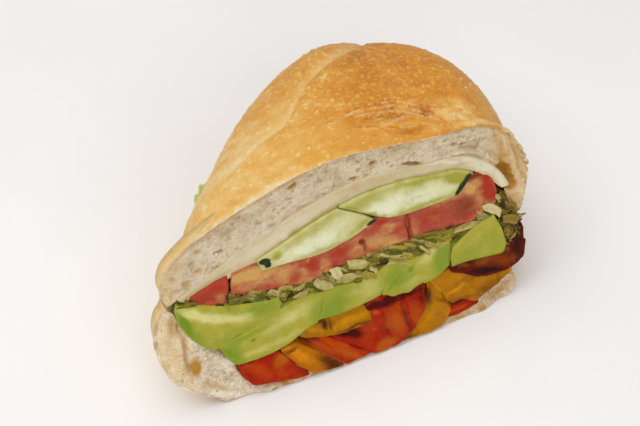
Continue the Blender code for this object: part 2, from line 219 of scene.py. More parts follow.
def carry(s, h, t, level):
    """Where the point (s, h) of the cut goes at depth t (0 at the cut, 1 at the roll's tip):
    the plan narrows like a superellipse about a drifting axis, the sides tuck in behind the
    cut, and heights close towards the level."""
    s, h, t = np.broadcast_arrays(np.asarray(s, float), np.asarray(h, float), np.asarray(t, float))
    depth = t * (TIP - h * CUT_SLOPE)
    plan = (1 - t**PLAN_POWERS[0])**(1 / PLAN_POWERS[1])
    right = ease((s - AXIS_S + HALF_SPAN) / (2 * HALF_SPAN))
    tuck = (LEFT_TUCK * (1 - right) * ease(depth / LEFT_REACH)
            + RIGHT_TUCK * right * ease(depth / RIGHT_REACH))
    x = AXIS_S + (s - AXIS_S) * plan * (1 - tuck) + SWEEP * depth
    y = CUT_Y + h * CUT_SLOPE + depth
    z = level + (h - level) * np.where(h > level, roof(t), sole(t))
    return np.stack([x, y, z], -1)


def outward(rings):
    """Unit normals of closed rings (u, q, 3): the cross product of the two directions,
    turned so that they point out of the closed shape."""
    across = np.gradient(rings, axis=0)
    around = (np.roll(rings, -1, axis=1) - np.roll(rings, 1, axis=1)) / 2
    area = np.cross(across, around)
    volume = ((rings - rings.mean((0, 1))) * area).sum()
    return np.sign(volume) * area / (np.linalg.norm(area, axis=-1, keepdims=True) + 1e-9)


def ring_quads(index):
    """Quads between neighbouring closed rings of vertex numbers (..., u, q)."""
    after = np.roll(index, -1, axis=-1)
    return np.stack([index[..., :-1, :], index[..., 1:, :], after[..., 1:, :],
                     after[..., :-1, :]], -1).reshape(-1, 4)


def half_rings_strip(first, second, points):
    """Triangles between two lines of vertex numbers that share both ends, pairing them by
    their share of the length."""
    shares = []
    for line in (first, second):
        step = np.linalg.norm(np.diff(points[line], axis=0), axis=-1) + 1e-6
        shares.append(np.concatenate([[0], np.cumsum(step)]) / step.sum())
    mids = [(share[1:] + share[:-1]) / 2 for share in shares]
    on_second = second[np.searchsorted(mids[1], mids[0])]
    on_first = first[np.searchsorted(mids[0], mids[1], side="right")]
    return np.vstack([np.stack([first[:-1], first[1:], on_second], 1),
                      np.stack([second[1:], second[:-1], on_first], 1)])


def finish_piece(name, points, quads, marks, material, nodes,
                 triangles=np.zeros((0, 3), int), weld=False, smooth=True):
    """Puts points (mm) and faces into a mesh, with one number per vertex for each mark, turns
    it outwards (its signed volume is above 0), and lets it ride in the frame."""
    split = np.vstack([triangles, quads[:, [0, 1, 2]], quads[:, [0, 2, 3]]]).astype(int)
    a, b, c = (points[split[:, k]] for k in range(3))
    if (a * np.cross(b, c)).sum() < 0:
        quads, triangles = quads[:, ::-1], triangles[:, ::-1]
    corners = np.concatenate([quads.ravel(), triangles.ravel()]).astype(np.int32)
    starts = np.concatenate([np.arange(len(quads)) * 4,
                             quads.size + np.arange(len(triangles)) * 3]).astype(np.int32)
    mesh = bpy.data.meshes.new(name)
    mesh.vertices.add(len(points))
    mesh.vertices.foreach_set("co", (points * MM).astype(np.float32).ravel())
    mesh.loops.add(len(corners))
    mesh.loops.foreach_set("vertex_index", corners)
    mesh.polygons.add(len(starts))
    mesh.polygons.foreach_set("loop_start", starts)
    mesh.update(calc_edges=True)
    for mark, values in marks.items():
        layer = mesh.attributes.new(mark, "FLOAT", "POINT")
        layer.data.foreach_set("value", np.asarray(values, np.float32).ravel())
    if weld:
        work = bmesh.new()
        work.from_mesh(mesh)
        bmesh.ops.remove_doubles(work, verts=work.verts[:], dist=1e-6)
        work.to_mesh(mesh)
        work.free()
    mesh.shade_smooth() if smooth else mesh.shade_flat()
    mesh.materials.append(material)
    piece = bpy.data.objects.new(name, mesh)
    bpy.context.scene.collection.objects.link(piece)
    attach(piece, "root")
    if nodes:
        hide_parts(*nodes)


def add_rings(name, rings, marks, material, nodes, turn, weld=False):
    """A closed piece from closed rings (u, q): quads between neighbours, and at both ends
    a strip between the two halves of the ring, which part at q = 0 and q = turn."""
    count_u, count_q = rings.shape[:2]
    index = np.arange(count_u * count_q).reshape(count_u, count_q)
    points = rings.reshape(-1, 3)
    there = np.arange(turn + 1)
    back = np.concatenate([[0], np.arange(count_q - 1, turn - 1, -1)])
    first_end, last_end = (half_rings_strip(ring[there], ring[back], points)
                           for ring in (index[0], index[-1]))
    finish_piece(name, points, ring_quads(index), marks, material, nodes,
                 np.vstack([first_end, last_end[:, ::-1]]), weld)


# --- Materials --------------------------------------------------------------------------

LIGHT_REACH = 1.2  # how far light goes into moist food and crumb, in mm
BREAD_MARKS = ("bake", "torn", "crumb", "pore_shade", "gold")
FOOD_MARKS = ("pale", "deep", "skin")


def feed(tree, node, inputs):
    """Gives a node its inputs: a socket is linked, a value is set."""
    for key, value in inputs.items():
        if isinstance(value, bpy.types.NodeSocket):
            tree.links.new(value, node.inputs[key])
        else:
            node.inputs[key].default_value = value


def add_node(tree, kind, inputs, stops=(), **settings):
    """Adds a node with its settings, its inputs and, on a colour ramp, its stops."""
    node = tree.nodes.new(kind)
    for key, value in settings.items():
        setattr(node, key, value)
    feed(tree, node, inputs)
    for k, (place, colour) in enumerate(stops):
        if k < 2:
            stop = node.color_ramp.elements[k]
            stop.position = place
        else:
            stop = node.color_ramp.elements.new(place)
        stop.color = colour
    return node


def new_material(name):
    """A material with its shader, and its object coordinates in millimetres."""
    material = bpy.data.materials.new(name)
    material.use_nodes = True
    tree = material.node_tree
    place = add_node(tree, "ShaderNodeTexCoord", {}).outputs["Object"]
    grown = add_node(tree, "ShaderNodeVectorMath", {0: place, "Scale": 1 / MM}, operation="SCALE")
    return material, tree, grown.outputs[0], tree.nodes["Principled BSDF"]


def mottled(tree, mark, pattern, strength):
    """A mark whose edge is broken up by a pattern: mark + strength * (pattern - 1/2)."""
    centred = add_node(tree, "ShaderNodeMath", {0: pattern, 1: 0.5}, operation="SUBTRACT")
    return add_node(tree, "ShaderNodeMath", {0: centred.outputs[0], 1: strength, 2: mark},
                    operation="MULTIPLY_ADD").outputs[0]


def laid_over(tree, under, over, share, pattern, strength):
    """One colour laid over another where share is 1, with an edge that a pattern breaks up."""
    return add_node(tree, "ShaderNodeMix", {0: mottled(tree, share, pattern, strength),
                                            6: under, 7: over}, data_type="RGBA").outputs[2]


def bread_material(name, looks, walls):
    """Wheat dough, proved and oven-baked.  The crust is a dry, faintly glossy skin that browns
    where it met the most heat, with pale flecks that are partly paler crust and partly painted
    glints, and stays floury where it tore open.
    The crumb is a matt foam that lets a little light in, golden where it dried.  Its thick walls
    have the colour walls.  Its pores, holes and creases are painted darker, as painted shade.  The
    marks are bake, torn, crumb, gold and the mark of the pores' painted shade."""
    material, tree, place, shader = new_material(name)
    marks = {mark: add_node(tree, "ShaderNodeAttribute", {}, attribute_name=mark).outputs["Fac"]
             for mark in BREAD_MARKS}
    cloud, grain, speck, foam = (
        add_node(tree, "ShaderNodeTexNoise", {"Vector": place, "Scale": 1 / size, "Detail": 3,
                                              "Roughness": 0.6}).outputs[0]
        for size in (6.0, 1.1, 0.5, 0.9))
    tone = mottled(tree, marks["bake"], cloud, 0.55)
    tone = mottled(tree, tone, grain, 0.42)
    crust = add_node(tree, "ShaderNodeValToRGB", {0: tone},
                     stops=((0.0, looks.crust_pale), (1.0, looks.crust_dark),
                            (0.28, looks.crust_light), (0.52, looks.crust_gold),
                            (0.76, looks.crust_brown))).outputs[0]
    # Pale flecks: partly paler crust, partly painted glints.
    fleck_and_glint = add_node(tree, "ShaderNodeMapRange", {0: speck, 1: 0.55, 2: 0.67, 4: 0.6}).outputs[0]
    crust_with_flecks_and_glints = add_node(tree, "ShaderNodeMix", {0: fleck_and_glint, 6: crust, 7: looks.crust_light},
                       data_type="RGBA").outputs[2]
    skin = laid_over(tree, crust_with_flecks_and_glints, looks.torn, marks["torn"], grain, 1.2)
    wall = add_node(tree, "ShaderNodeMapRange", {0: mottled(tree, cloud, foam, 0.8), 1: 0.30,
                                                 2: 0.62}).outputs[0]
    crumb = add_node(tree, "ShaderNodeMix", {0: wall, 6: looks.crumb_shade, 7: walls},
                     data_type="RGBA").outputs[2]
    # Painted shade: the crumb is painted darker inside its pores, holes and creases.
    crumb = laid_over(tree, crumb, looks.crumb_deep, marks["pore_shade"], foam, 0.5)
    crumb = laid_over(tree, crumb, looks.crumb_gold, marks["gold"], grain, 0.5)
    colour = add_node(tree, "ShaderNodeMix", {0: marks["crumb"], 6: skin, 7: crumb},
                      data_type="RGBA").outputs[2]
    rough = add_node(tree, "ShaderNodeMapRange", {0: marks["crumb"], 3: 0.44, 4: 0.85}).outputs[0]
    relief = add_node(tree, "ShaderNodeMath", {0: grain, 1: 0.8, 2: speck},
                      operation="MULTIPLY_ADD").outputs[0]
    bump = add_node(tree, "ShaderNodeBump", {"Height": relief, "Strength": 0.8,
                                             "Distance": 0.45 * MM}).outputs[0]
    feed(tree, shader, {"Base Color": colour, "Roughness": rough, "Normal": bump,
                        "Specular IOR Level": 0.25, "Subsurface Weight": 0.15,
                        "Subsurface Radius": (1.0, 0.6, 0.35),
                        "Subsurface Scale": LIGHT_REACH * MM})
    return material


# The moist foods.  wet is the coat of juice, see_in the share of light that goes in, radius
# how far red, green and blue go, and clouds and grain are the size of the patches that break
# up the colours' edges and the depth of the fine grain, in mm.  colours are the settings for
# the flesh, the pale part, the deep part and the skin, where they aren't the food's own four.
Food = namedtuple("Food", "name rough wet see_in radius clouds grain colours", defaults=("",))
FOODS = {
    # Semi-hard cheese: waxy, faintly see-through, with a soft dull gloss; its deep colour is
    # painted shade along its edges.
    "cheese": Food("Sliced semi-hard cheese", 0.42, 0.08, 0.30, (1, 0.8, 0.5), 3, 0.08,
                   "cheese cheese_pale cheese_deep cheese_deep"),
    # Raw cucumber: wet glassy flesh, greener under a thin dark skin; the greener colour is also
    # painted as shade under the cheese.
    "cucumber": Food("Cut cucumber", 0.30, 0.30, 0.30, (0.8, 1, 0.5), 2.5, 0.08),
    # Ripe tomato: wet red flesh with pale fibres and yellowish gel by the seeds; its deep colour
    # is also painted shade in hollows and gaps.
    "tomato": Food("Cut ripe tomato", 0.30, 0.35, 0.25, (1.2, 0.4, 0.25), 1.8, 0.12),
    # Ripe avocado: buttery and faintly glossy, green at the skin, yellow inside.
    "avocado": Food("Cut ripe avocado", 0.42, 0.12, 0.22, (0.9, 1, 0.3), 3.5, 0.08),
    # Roasted pepper: slack, slippery flesh under oil, with a deeper skin.
    "pepper": Food("Roasted pepper", 0.24, 0.12, 0.12, (1.2, 0.4, 0.1), 2.2, 0.14),
    # Shredded lettuce: thin crisp leaf with pale watery ribs, browned where bruised; the brown
    # also paints the shade between the shreds.
    "lettuce": Food("Shredded lettuce", 0.36, 0.20, 0.25, (0.7, 1, 0.3), 1.5, 0.12),
    # Wilted sprouts and leaf ends: thin, wet and olive-brown.
    "sprouts": Food("Wilted sprouts", 0.34, 0.30, 0.22, (0.8, 0.9, 0.3), 1.5, 0.12,
                    "sprout sprout_pale lettuce_deep lettuce_skin"),
    # Fresh lettuce leaf: thin, crinkled, bright where light comes through.
    "leaf": Food("Fresh lettuce leaf", 0.34, 0.20, 0.35, (0.6, 1, 0.2), 2, 0.12,
                 "leaf lettuce_pale lettuce_deep lettuce"),
}


def food_material(key, looks, colours=(), kind=""):
    """One of the moist foods.  The marks pale, deep and skin say where its other three
    colours lie over the flesh.  The surface has a gloss, a coat of juice and a fine grain,
    and lets light some way in."""
    food = FOODS[key]
    material, tree, place, shader = new_material(food.name + kind)
    cloud = add_node(tree, "ShaderNodeTexNoise", {"Vector": place, "Scale": 1 / food.clouds,
                                                  "Detail": 4, "Roughness": 0.6})
    patterns = add_node(tree, "ShaderNodeSeparateColor", {0: cloud.outputs["Color"]}).outputs
    names = food.colours or f"{key} {key}_pale {key}_deep {key}_skin"
    colour, *others = colours or [getattr(looks, name) for name in names.split()]
    for mark, pattern, strength, other in zip(FOOD_MARKS, patterns, (0.9, 0.9, 0.4), others):
        share = add_node(tree, "ShaderNodeAttribute", {}, attribute_name=mark).outputs["Fac"]
        colour = laid_over(tree, colour, other, share, pattern, strength)
    grain = add_node(tree, "ShaderNodeTexNoise", {"Vector": place, "Scale": 1 / 0.8,
                                                  "Detail": 3}).outputs[0]
    bump = add_node(tree, "ShaderNodeBump", {"Height": grain, "Strength": 0.7,
                                             "Distance": food.grain * MM}).outputs[0]
    uneven = add_node(tree, "ShaderNodeMapRange", {
        0: grain, 1: 0.3, 2: 0.7, 3: food.rough - 0.08, 4: food.rough + 0.10}).outputs[0]
    feed(tree, shader, {"Base Color": colour, "Roughness": uneven, "Normal": bump,
                        "Coat Weight": food.wet, "Coat Roughness": 0.12,
                        "Specular IOR Level": 0.06, "Subsurface Weight": food.see_in,
                        "Subsurface Radius": food.radius,
                        "Subsurface Scale": LIGHT_REACH * MM})
    return material


# --- The bread --------------------------------------------------------------------------

# Outlines in the cut.  "behind" replaces the last points of the outer outline and the first
# of the inner one where the right-hand side of the roll closes.
Bread = namedtuple("Bread", "outer outer_behind inner inner_behind level")
CROWN = Bread(
    [(-62.2, 38.5), (-63.8, 42.2), (-62.9, 46.4), (-59.8, 50.3), (-51.6, 55.2), (-39.8, 59.4),
     (-28, 62.5), (-15, 65.2), (-2, 66.2), (12, 65), (28, 62.6), (44, 61), (53, 57.5), (59, 51.5),
     (61.8, 44.5), (61.6, 38), (59.8, 31.8), (57.4, 27.8)],
    [(62.4, 38), (62.3, 29), (60.2, 22.4)],
    [(57.4, 27.8), (56.6, 32.5), (56.7, 37), (55.4, 42.3), (48.7, 49.2), (39, 53.2), (25, 55.2),
     (12, 56.9), (0, 56.7), (-15, 53.6), (-30, 49.1), (-45, 44.4), (-57.5, 40.3), (-62.2, 38.5)],
    [(60.2, 22.4), (58.6, 27), (58.2, 33)],
    CROWN_LEVEL)
HEEL = Bread(
    [(-62.4, 37), (-66, 34.6), (-68, 30), (-68.3, 25), (-67.4, 19), (-65, 13), (-61, 8.5),
     (-56, 4.6), (-51, 1.4), (-46, 0), (-15, 0), (20, 0), (47, 0), (51, 0.8), (53, 3.5),
     (52.6, 5.5), (51.2, 7.4)],
    [(53, 0.6), (59.2, 7), (61, 14), (60, 20.4)],
    [(51.2, 7.4), (48, 6.6), (44, 4.7), (38, 2.7), (30, 1.5), (14, 1.4), (-5, 1.4), (-22, 1.5),
     (-33, 2.5), (-40.2, 4.4), (-44.3, 8.1), (-45.7, 12.7), (-47, 15.6), (-50.6, 20.1),
     (-55.2, 23.4), (-58.4, 27.4), (-60.6, 31.5), (-62.4, 37)],
    [(60.2, 20.4), (58.6, 14.5), (52, 7.2)],
    HEEL_LEVEL)

RIM = 0.5  # radius of the rounded edge between crust and cut
FACE_SET_BACK = 4.0  # how far the crust piece's own face lies behind the crumb
CRUMB_DEPTH = 6.0  # depth of the crumb piece behind the cut
CRUMB_OVERRUN = 0.7  # how far the crumb laps over the filling next to it
FRAY_DEPTH = 7.0  # how far behind the cut the torn edge goes
SEAM_SQUEEZE = 0.8  # how far each bread comes towards the other along the seam
SEAM_REACH = 8.0  # and how far above or below the seam that is felt
SQUEEZE_START, SQUEEZE_EASE = 0.06, 0.15  # depths over which it sets in behind the cut
TIP_BEND_START = 0.85  # depth from which the tip's sections stand upright
FLAP_HEIGHT = 3.4  # height of a torn flap at the right-hand end, in mm
WALL_FALL = 36.0  # height the crown's wall falls from the cut to the tip, in mm

# Where the crown's crust opened in the oven, as plan curves (x, y from the cut's foot), and
# along it the width of the bare dough, how bare it is, how deep it lies and how sharp its lip.
SLASH = [
    (-50, 34.6), (-42, 35.2), (-36, 36.4), (-29.5, 37.7), (-24, 39.2), (-18, 42), (-12, 43.3),
    (-7, 45.6), (-3, 49), (1, 53.2), (5.5, 58), (10.5, 61.8), (16, 65.3), (22.5, 69), (29, 73),
    (35, 78), (41, 83)
]
SLASH_AT = (0, 0.08, 0.3, 0.42, 0.5, 0.6, 0.7, 0.85, 1)
SLASH_WIDTH = (1, 1.4, 2.4, 4.2, 3.6, 2.2, 3.8, 4.2, 4.2)
SLASH_BARE = (0, 0.6, 0.95, 0.95, 0.6, 0.35, 0.6, 0.7, 0.6)
SLASH_DEPTH = (0, 0.5, 1, 0.9, 0.25, 0.15, 0.5, 0.9, 1)
SLASH_LIP = (0, 0.7, 1, 0.7, 0, 0, 0.3, 0.4, 0.5)
# Fine cracks over the fold in front: plan route, depth and width.
CRACKS = (
    ([(-2, 36.6), (4, 36.8), (9, 38), (13, 39.2), (19, 39), (24, 38.4), (28, 37), (31.6, 34.2),
      (34.6, 30.6), (37, 26.6), (39.2, 22.4)], 0.8, 0.6),
    ([(8, 36), (14, 36.6), (20, 36.2), (25, 35.4), (29, 33.6), (32, 31), (34, 28.4)], 0.5, 0.45),
    ([(9, 31.4), (13, 30.4), (18, 28.7), (22, 27.9), (26, 27.6), (29, 26.8)], 0.45, 0.5),
    ([(20, 40.4), (26, 39.8), (31, 37.4), (35, 34), (39, 31.6), (45, 31)], 0.5, 0.45),
    ([(27, 33.6), (31, 31.8), (34.6, 28.6), (38, 25.4), (42, 23.6), (48, 23)], 0.5, 0.45),
)
# Spots on the crown: x, y, half-lengths, turn in degrees, strength.
BROWN_SPOTS = [
    (19, 33.4, 11, 1.4, -10, 0.2), (27, 24.4, 5, 1.5, -6, 0.24), (34, 31.5, 2, 5, -35, 0.1)
]
PALE_SPOTS = [
    (33, 23.6, 2.6, 2, 15, 0.3), (47, 22, 8, 1.3, 0, 0.34), (43, 29, 5, 5, -30, 0.26),
    (12, 58.5, 3, 0.7, 55, 0.3), (-20, 20.5, 16, 2, 2, 0.1), (22, 28.6, 6, 0.8, -10, 0.34),
    (30, 37.6, 4, 0.7, -35, 0.3)
]
WRINKLED = [(22, 33, 18, 7, -10, 1)]
ROUGH_SPOTS = [(42.5, 28.5, 5.5, 5, -30, 1), (47, 22.4, 7, 1.6, 0, 0.7)]
LUMP = [(31.5, 23.2, 3.4, 2.4, 15, 1)]
# Folds in the crown's and the heel's cut crumb, and the painted shadow that the avocado casts on
# the heel's.
CROWN_FOLD = [(35.5, 54.6), (41, 53.9), (46, 52), (51.5, 47.9), (57, 45.4)]
HEEL_AVOCADO_SHADOW = [(-48.4, 18.4, 3, 1.1, -42, 1), (-44.9, 14, 0.6, 1.6, 15, 0.5)]
HEEL_FOLD = [(-60.6, 33), (-59.9, 28), (-59.4, 23), (-59.6, 18), (-59.2, 13.5)]
# Hollows in the cut crumb: s, h, half-lengths, turn in degrees, depth in mm; and golden spots.
CROWN_HOLLOWS = [
    (22.4, 56.2, 2.2, 0.45, -16, 2.2), (17.4, 54.9, 0.8, 0.5, -20, 1),
    (55.3, 42.1, 4.2, 0.75, -68, 3.2), (-39, 45.1, 1.4, 0.5, -6, 0.8),
    (-55, 43.8, 1.2, 0.8, -35, 0.6), (-50.5, 46.2, 1, 0.6, 0, 0.5),
    (-49.2, 52.2, 1.1, 0.45, -20, 0.9), (-52, 49.4, 0.9, 0.5, 10, 0.6),
    (-43, 56.4, 1, 0.45, -35, 0.7), (-16.6, 62.4, 1.3, 0.5, 12, 1.2),
    (2.8, 58, 1.2, 0.45, -8, 0.9), (9.5, 60.7, 0.9, 0.45, 0, 0.9), (-29, 54.3, 1.2, 0.5, -15, 0.6),
    (37, 57.5, 1.1, 0.5, -10, 0.7)
]
CROWN_GOLD = [
    (24.6, 54.9, 1.5, 0.5, -10, 0.9), (17.6, 54.5, 1, 0.5, -20, 0.7),
    (55.3, 42.1, 4.3, 0.8, -68, 2.6), (-39, 44.7, 1.6, 0.6, -6, 0.6),
    (-55, 43.3, 1.4, 1, -35, 0.6), (-50.5, 46, 1.2, 0.8, 0, 0.5), (-38, 58.7, 2.4, 0.5, -4, 0.6),
    (-16.6, 62.1, 1.5, 0.5, 12, 0.5), (3, 57.6, 1.4, 0.5, -8, 0.6), (9.6, 60.4, 1.1, 0.5, 0, 0.6),
    (55, 52, 6, 3.4, -45, 0.2), (57.5, 40, 3, 12, 8, 0.12), (-58, 49.5, 4, 1.4, 45, 0.3),
    (20, 54.3, 9, 1.2, -8, 0.18)
]
HEEL_HOLLOWS = [
    (-57.2, 15.5, 1.6, 2.6, 0, 0.5), (-48.2, 17.4, 3.6, 1.1, -40, 1.5),
    (-46.6, 8.6, 1.2, 0.6, 35, 0.5), (-52, 12, 1.4, 0.7, -50, 0.5), (47, 2.8, 1.4, 0.5, 10, 0.6),
    (50.5, 4.6, 1, 0.5, 30, 0.6)
]
# Of the golden spots on the heel, three are painted shade: at its upper left, along the fold, and
# under the avocado.
HEEL_GOLD = [
    (-57.2, 15.4, 1.7, 2.5, 0, 1.3), (-61.8, 31.6, 1.7, 3.6, 5, 0.8), (-59.6, 22, 0.6, 6, -2, 0.6),
    (-48.2, 18, 3.6, 1, -40, 0.8), (-51, 6.2, 5, 0.9, -34, 0.6), (-66.8, 20, 1, 8, 12, 0.35),
    (46, 3, 5, 1.8, 20, 0.6), (20, 0.6, 34, 0.7, 0, 0.5)
]


def spots(x, y, table, wobble=0.6, seed=5):
    """The strongest of some soft-edged ellipses, each (x, y, half-length, half-width, turn in
    degrees, strength): full near the middle, half at its size, gone at twice its size.
    Noise bends their edges by wobble mm, slowly and quickly."""
    places = flat(x, y)
    x, y = (at + wobble * (noise(places, 3, seed + k) + 0.5 * noise(places, 1, seed + k + 2))
            for k, at in enumerate((x, y)))
    total = 0 * x
    for at_x, at_y, long, wide, turn, strength in table:
        c, s = math.cos(math.radians(turn)), math.sin(math.radians(turn))
        along, across = (x - at_x) * c + (y - at_y) * s, (y - at_y) * c - (x - at_x) * s
        apart = np.hypot(along / long, across / wide)
        total = np.maximum(total, strength * ease((1.9 - apart) / 1.6))
    return total


def fray(s, h):
    """How far torn bread stands out of the outline at the right-hand end: overlapping flaps,
    each a slow rise and a sudden drop, with fine noise."""
    right = ease((s - 53) / 4) * ease((60 - h) / 3)
    places = flat(s, h)
    turns = h / FLAP_HEIGHT + 1.3 * noise(places, 5, 22)
    flap = 1 - (turns - np.floor(turns))
    uneven = 0.9 + 0.9 * noise(places, 9, 26)
    return right * (2.1 * uneven * flap**1.5 + 0.8 * noise(places, 1.2, 23, 2) - 1.1)


def bread_grid(bread, count, w, inset, t, push):
    """Rings (u, q) of a bread wall.  Column u runs from the left seam to the right one.
    Row q lies at share w of the way from the outer to the inner outline, inset mm further
    in, at depth t, and pushed back by push mm."""
    behind_outer = bread.outer[:-len(bread.outer_behind)] + bread.outer_behind
    behind_inner = bread.inner_behind + bread.inner[len(bread.inner_behind):]
    at_outer = even_steps(bread.outer, count)
    at_inner = even_steps(bread.inner, count)[::-1]
    outer_front, outer_rear, inner_front, inner_rear = (
        curve_through(points, at)[:, None]
        for points, at in ((bread.outer, at_outer), (behind_outer, at_outer),
                           (bread.inner, at_inner), (behind_inner, at_inner)))
    share = np.linspace(0, 1, count)[:, None, None]
    seam = inner_rear[:1] + (inner_rear[-1:] - inner_rear[:1]) * share
    w, t = (np.asarray(row, float)[None, :, None] for row in (w, t))
    shut = ease((t - np.array(SIDE_SHUTS)) / SIDE_EASE)
    outer = outer_front + (outer_rear - outer_front) * shut
    inner = inner_front + (inner_rear - inner_front) * shut
    inner = inner + (seam - inner) * ease((t - SEAM_START) / (SEAM_END - SEAM_START))
    gap = inner - outer
    wide = np.linalg.norm(gap, axis=-1, keepdims=True) + 1e-9
    step = np.minimum(np.asarray(inset)[None, :, None], 0.45 * wide)
    torn = fray(outer_front[..., 0], outer_front[..., 1])[..., None]
    step = step - torn * (1 - w) * (1 - ease(t * TIP / FRAY_DEPTH))
    cut = outer + gap * w + gap / wide * step
    rings = carry(cut[..., 0], cut[..., 1], t[..., 0], bread.level)
    to_tip = ease((t[..., 0] - TIP_BEND_START) / (1 - TIP_BEND_START))
    rings[..., 0] += SWEEP * CUT_SLOPE * (cut[..., 1] - bread.level) * to_tip
    rings[..., 1] += np.asarray(push)[None, :]
    left, right = rings[:1], rings[-1:]
    share = np.clip((rings[..., 0] - left[..., 0]) / (right[..., 0] - left[..., 0] + 1e-6), 0, 1)
    away = np.abs(rings[..., 2] - left[..., 2] - (right[..., 2] - left[..., 2]) * share)
    squeeze = SEAM_SQUEEZE * (1 - ease(away / SEAM_REACH))
    squeeze = squeeze * ease((t[..., 0] - SQUEEZE_START) / SQUEEZE_EASE)
    rings[..., 2] += squeeze if bread.level < FILLING_LEVEL else -squeeze
    return rings, cut


def crust_rows(deep_rows):
    """Rows of a crust piece: from the tip forwards at even lengths, over the rounded rim,
    across the face and back along the hollow.  Gives their w, inset, depth and push for
    bread_grid, and the row at which the ring turns back."""
    t = np.linspace(0, 1, 2000)
    step = np.hypot(np.diff(t) * TIP, np.diff(roof(t)) * WALL_FALL)
    length = np.concatenate([[0], np.cumsum(step)])
    wall = np.interp(np.linspace(RIM, length[-1], deep_rows), length, t)[::-1]
    wall[0] = 1.0
    turn = np.linspace(0, math.pi / 2, 6)[1:]
    face = np.linspace(0, 1, 7)[1:]
    hollow = np.concatenate([np.linspace(0, SEAM_END, 12)[1:], [0.94, 0.98, 0.996, 0.9995]])
    w, inset, t, push = (np.concatenate(row) for row in (
        (0 * wall, 0 * turn, face, 0 * hollow + 1),
        (0 * wall, RIM * (1 - np.cos(turn)), RIM * (1 - face), 0 * hollow),
        (wall, 0 * turn, 0 * face, hollow),
        (0 * wall, RIM * (1 - np.sin(turn)), 0 * face + FACE_SET_BACK, 0 * hollow)))
    return w, inset, t, push, len(wall) + len(turn) + len(face) - 1


SLASH_LIP_WIDTH, SLASH_LIP_FALL = 1.2, 8.0  # how wide the lip rises, and falls beyond, in mm
SLASH_LIP_HEIGHT = 0.6
LOBE_HEIGHT = 1.4  # the swelling left of the slash towards the tip, in mm


def slash_relief(plan):
    """The opened crust in the plan: a trough with a gentle left side and a steep lip on the
    right.  Gives the distance from it, the height, how bare it is and the lobe beside it."""
    d, along = beside(plan, SLASH)
    width, bare, deep, lip = (np.interp(along, SLASH_AT, values) for values in
                              (SLASH_WIDTH, SLASH_BARE, SLASH_DEPTH, SLASH_LIP))
    trough = -deep * ease(1 + d / (1.3 * width))
    edge = -deep + (deep + SLASH_LIP_HEIGHT * lip) * ease(d / SLASH_LIP_WIDTH)
    beyond = SLASH_LIP_HEIGHT * lip * (1 - ease((d - SLASH_LIP_WIDTH) / SLASH_LIP_FALL))
    height = np.where(d < 0, trough, np.where(d < SLASH_LIP_WIDTH, edge, beyond))
    torn = bare * ease(1.1 + d / width) * ease(1 - d / 0.9)
    torn = np.maximum(torn, 0.95 * lip * np.exp(-((d - 0.3) / 0.45)**2))
    lobe = ease((along - 0.6) / 0.3) * ease(-d / 3) * ease(2 + d / 12)
    return d, height, torn, lobe


def crack_reliefs(plan, broken):
    """For each fine crack, a bell curve across it that narrows to its ends: the depth of its
    groove, the bare ridge beside it where it is broken, which is partly painted highlight, and a
    painted shadow of darker bake in the groove, a little to its left."""
    for route, deep, wide in CRACKS:
        d, along = beside(plan, route)
        taper = between(along, 0.15, 0.12)
        groove = np.exp(-(d / wide)**2) - 0.6 * np.exp(-((d - 2 * wide) / wide)**2)
        ridge = taper * broken * np.exp(-((d - 1.2 * wide) / (1.1 * wide))**2)
        yield deep * taper * groove, ridge, 0.22 * taper * np.exp(-((d + 0.3 * wide) / wide)**2)


